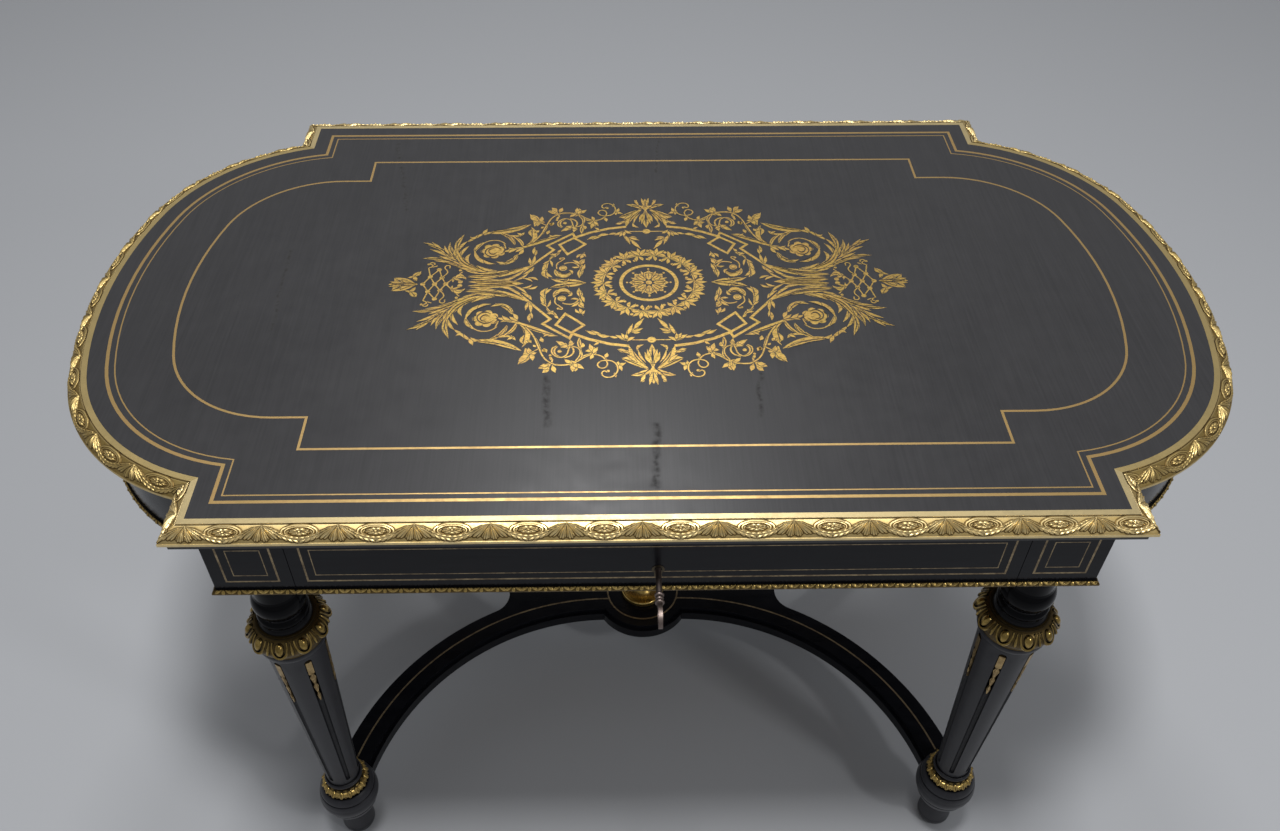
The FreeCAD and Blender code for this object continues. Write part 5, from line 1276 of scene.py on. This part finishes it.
# %% Stems and berries
# Stems: points and one width
STEMS = [
    ([(86, 107), (88, 116), (84, 130), (83, 141), (90, 150)], 1.6),
    ([(97, 122), (105, 141), (115, 138), (118, 126), (113, 121)], 1.7),
    ([(96, 121), (87, 126), (85, 136), (90, 148)], 1.5),
    ([(92, 152), (104, 155), (117, 152), (117, 145)], 2.0),
    ([(88, 149), (80, 142), (70, 137), (60, 140), (54, 148)], 1.7),
    ([(54, 147), (62, 150), (64, 157), (58, 161), (53, 155), (54, 148)], 1.6),
    ([(54, 147), (46, 150), (41, 160), (44, 172), (52, 177), (59, 172), (57, 166), (53, 168)], 1.6),
    ([(152, 84), (141, 103), (134, 124), (126, 144), (117, 153)], 1.9),
    ([(134, 126), (139, 130), (144, 134)], 1.4),
    ([(117, 29), (117, 40), (111, 47), (108, 52), (113, 52)], 1.6),
    ([(88, 34), (95, 42), (104, 42), (108, 40)], 1.8),
    ([(130, 30), (129, 40), (127, 49), (120, 60), (113, 69)], 1.5),
    ([(188, 85), (186, 79), (185, 74)], 1.4),
    ([(163, 79), (168, 90), (176, 101)], 2.0),
    ([(281, 33), (276, 38), (280, 43), (275, 44), (274, 40)], 1.6),
    ([(262, 13), (256, 24), (260, 36), (255, 38), (254, 32)], 1.6),
]
# Berries: place and size
BERRIES = [(109, 131, 2.6), (128, 129, 2.2), (125, 159, 3.6), (120, 138, 1.8), (109, 31, 3.0),
           (113, 51, 1.8), (240, 28, 2.0), (238, 4, 3.2), (13, 183, 2.4), (16, 123, 2.2),
           (52, 166, 2.0), (282, 41, 1.8), (148, 113, 2.2)]
AXIS_BERRIES = [(318, 0, 4.0), (303, 0, 3.4)]
print("stems %d, berries %d" % (len(STEMS), len(BERRIES) + len(AXIS_BERRIES)))

# %% Lines for the engraver
# Engraved lines: points and one width, filled with black
ENGRAVED = [
    ([(222, 5.5), (195, 5), (168, 2)], 0.8), ([(218, 2.2), (195, 1.8), (172, 0.6)], 0.8),
    ([(226, 14), (195, 17), (160, 32)], 0.8), ([(218, 18), (192, 21), (166, 32)], 0.7),
    ([(210, 27), (233, 44), (246, 68)], 0.8), ([(216, 28), (238, 44), (248, 64)], 0.7),
    ([(232, 33), (248, 40), (258, 44)], 0.6), ([(246, 42), (264, 52), (286, 54)], 0.7),
    ([(254, 57), (270, 74), (290, 86)], 0.7), ([(249, 56), (256, 70), (259, 85)], 0.7),
    ([(248, 66), (249, 84), (244, 101)], 0.8), ([(208, 111), (185, 115), (160, 126)], 0.8),
    ([(204, 114), (188, 118), (168, 126)], 0.7), ([(192, 108), (182, 100), (175, 87)], 0.7),
    ([(160, 80), (143, 90), (118, 101)], 0.8), ([(160, 80), (152, 95), (154, 117)], 0.8),
    ([(195, 60), (202, 57), (209, 61), (211, 69), (206, 76), (198, 78), (191, 73)], 0.8),
    ([(196, 66), (201, 62), (206, 66), (206, 72), (200, 75)], 0.8),
    ([(190, 62), (186, 70), (190, 79)], 0.7), ([(212, 60), (216, 69), (212, 78)], 0.7),
    ([(222, 66), (216, 54), (200, 44)], 0.7), ([(187, 43), (177, 48), (170, 59)], 0.7),
    ([(0.5, 124), (0.5, 140), (0.5, 158)], 0.8), ([(24, 126), (19, 143), (8, 158)], 0.8),
    ([(33, 146), (24, 151), (10, 161)], 0.7), ([(22, 173), (14, 171), (5, 166)], 0.7),
    ([(293, 1.5), (309, 2), (324, 1)], 0.7), ([(120, 8), (104, 4), (84, 1)], 0.7),
    ([(116, 26), (107, 19), (99, 23)], 0.7), ([(88, 14), (87, 24), (85, 36)], 0.6),
]
print("engraved lines:", len(ENGRAVED))

# %% [markdown]
# Strokes that cross lie at different levels, so that no two faces share one plane. Under each one
# lies a black stroke that is a little wider, which parts it from the brass below as the saw did. The
# sheet is let into the top and stands a hair above it.

# %% Turn strokes into ribbons
LEVELS = 11
LEVEL_STEP = 0.02


def pen():
    """A flat nib one unit wide, which a stroke's widths then scale."""
    nib = bpy.data.curves.new("nib", "CURVE")
    nib.dimensions = "2D"
    line = nib.splines.new("POLY")
    line.points.add(1)
    line.points[0].co = (-0.5, 0, 0, 1)
    line.points[1].co = (0.5, 0, 0, 1)
    piece = bpy.data.objects.new("nib", nib)
    bpy.context.scene.collection.objects.link(piece)
    return piece


def strokes(name, drawn, nib, wider=0.0, lower=0.0):
    """Flat ribbons along curves, from lists of points with a width for each."""
    sheet = bpy.data.curves.new(name, "CURVE")
    sheet.dimensions = "3D"
    sheet.twist_mode = "Z_UP"
    sheet.bevel_mode = "OBJECT"
    sheet.bevel_object = nib
    sheet.resolution_u = 5
    for i, (points, widths) in enumerate(drawn):
        level = (i % LEVELS - lower) * LEVEL_STEP * MM
        spline = sheet.splines.new("BEZIER")
        spline.radius_interpolation = "CARDINAL"
        spline.bezier_points.add(len(points) - 1)
        for knot, (x, y), width in zip(spline.bezier_points, points, widths):
            knot.co = (x * MM, y * MM, level)
            knot.handle_left_type = knot.handle_right_type = "AUTO"
            knot.radius = (width + wider) * MM
    piece = bpy.data.objects.new(name, sheet)
    bpy.context.scene.collection.objects.link(piece)
    select_only(piece)
    bpy.ops.object.convert(target="MESH")
    bpy.ops.object.shade_flat()
    return bpy.context.object

# %% Leaves and berries as strokes
POINTED = 0.3


def leaf_stroke(start, bend, tip, width):
    """A leaf: narrow at both ends."""
    return [start, bend, tip], [POINTED, width, POINTED]


def dot(x, y, size):
    """A round berry as a stroke that swells and closes."""
    offsets, widths = (-1, -0.7, 0, 0.7, 1), (0.2, 1.45, 2, 1.45, 0.2)
    return [(x + off * size, y) for off in offsets], [width * size for width in widths]

# %% Draw the quarter and mirror it
# The sawn gap round a stroke: how much wider it is, and by what part of a level it lies lower
GAP = (1.5, 0.5)


def mirrored_quarter(piece):
    """Three more quarters of a drawing."""
    return applied(piece, "MIRROR", use_axis=(True, True, False), use_mirror_merge=False)


nib = pen()
drawn = [leaf_stroke(*leaf) for leaf in SPRIGS + VINE_LEAVES + SCROLL_LEAVES + FROND_LEAVES]
drawn += [(points, [width] * len(points)) for points, width in STEMS]
drawn += [dot(*berry) for berry in BERRIES]
tendrils = mirrored_quarter(strokes("brass_tendrils", drawn, nib))
outlines = mirrored_quarter(strokes("outlines", drawn, nib, *GAP))
print("strokes in a quarter:", len(drawn))

# %% [markdown]
# The wreath and the rosette in the middle turn about a point, so they are drawn as rings of
# sprays, with each place given by its angle and its distance from the middle.

# %% Draw the wreath
WREATH_SPRAYS = 18
WREATH_STEM = 57.5


def polar(radius, degrees):
    """Point at an angle and a distance from the middle."""
    angle = math.radians(degrees)
    return radius * math.cos(angle), radius * math.sin(angle)


wreath = []
for i in range(WREATH_SPRAYS):
    at = 360 * i / WREATH_SPRAYS
    for side in (-1, 1):
        wreath.append(leaf_stroke(polar(57, at), polar(64, at + side * 4), polar(71, at + side * 8), 5.4))
        wreath.append(leaf_stroke(polar(57, at + 3), polar(51, at + 3 + side * 4),
                                  polar(46, at + 3 + side * 5), 4.6))
    wreath.append(leaf_stroke(polar(59, at), polar(66, at), polar(74, at), 5.0))
    wreath.append(leaf_stroke(polar(58, at - 2), polar(61, at - 8), polar(59, at - 14), 4.6))
    wreath.append(dot(*polar(67, at + 10), 2.2))
    wreath.append(dot(*polar(49, at + 11), 1.9))
circle = [polar(WREATH_STEM, 15 * i) for i in range(25)]
wreath.append((circle, [1.5] * len(circle)))
print("strokes in the wreath:", len(wreath))

# %% Draw the rosette
ROSETTE_CURLS = 8
CURL_WIDTHS = [0.8, 1.6, 1.8, 0.8]

for i in range(ROSETTE_CURLS):
    at = 360 * (i + 0.5) / ROSETTE_CURLS
    for side in (-1, 1):
        curl = [polar(10, at), polar(16, at + side * 3), polar(20.5, at + side * 12),
                polar(18, at + side * 18)]
        wreath.append((curl, CURL_WIDTHS))
    wreath.append(leaf_stroke(polar(14, at), polar(19, at), polar(25, at), 3.0))
    wreath.append(dot(*polar(27.5, at + 22.5), 1.5))
wreath += [dot(side * x, y, size) for x, y, size in AXIS_BERRIES for side in (-1, 1)]
print("strokes in the wreath, the rosette and on the axis:", len(wreath))

# %% Let the brass into the top
# Sheets: thickness, and how far the lowest level stands proud of the top, in millimetres
BRASS_SHEET = (0.35, 0.12)
GAP_SHEET = (0.30, 0.12)


def as_sheet(piece, thickness, proud):
    """Give flat strokes a thickness and let them into the top, a little proud of it."""
    applied(piece, "SOLIDIFY", thickness=thickness * MM, offset=0)
    piece.location = (0, CENTRE_Y, TOP_Z + (proud - thickness / 2) * MM)
    settle(piece)
    select_only(piece)
    bpy.ops.object.mode_set(mode="EDIT")
    bpy.ops.mesh.select_all(action="SELECT")
    bpy.ops.mesh.normals_make_consistent(inside=False)
    bpy.ops.object.mode_set(mode="OBJECT")
    return piece


middle = strokes("brass_wreath", wreath, nib)
brass = as_sheet(joined([tendrils, middle], "brass_tendrils"), *BRASS_SHEET)
dressed(brass, "table", inlaid_brass)
middle_outlines = strokes("outlines", wreath, nib, *GAP)
sawn = as_sheet(joined([outlines, middle_outlines], "sawn_gaps"), *GAP_SHEET)
dressed(sawn, "table", top_black)

# %% [markdown]
# The engraver's lines are cut into the brass and filled with black. A cut this fine would need a
# very dense sheet, so each line is a thin black stroke that lies on it.

# %% Engrave the brass
ROSETTE_CUTS = 8
CUT_SWELL = 1.6
CUT_SHEET = (0.30, 0.40)

cuts = [(points, [POINTED] + [CUT_SWELL * width] * (len(points) - 2) + [POINTED])
        for points, width in ENGRAVED]
engraving = mirrored_quarter(strokes("engraved_lines", cuts, nib))
for i in range(ROSETTE_CUTS):
    at = 360 * i / ROSETTE_CUTS
    cut = [leaf_stroke(polar(9, at), polar(16, at), polar(22, at), 0.9)]
    engraving = joined([engraving, strokes("cut", cut, nib)], "engraved_lines")
as_sheet(engraving, *CUT_SHEET)
dressed(engraving, "table", top_black)
forget(nib)
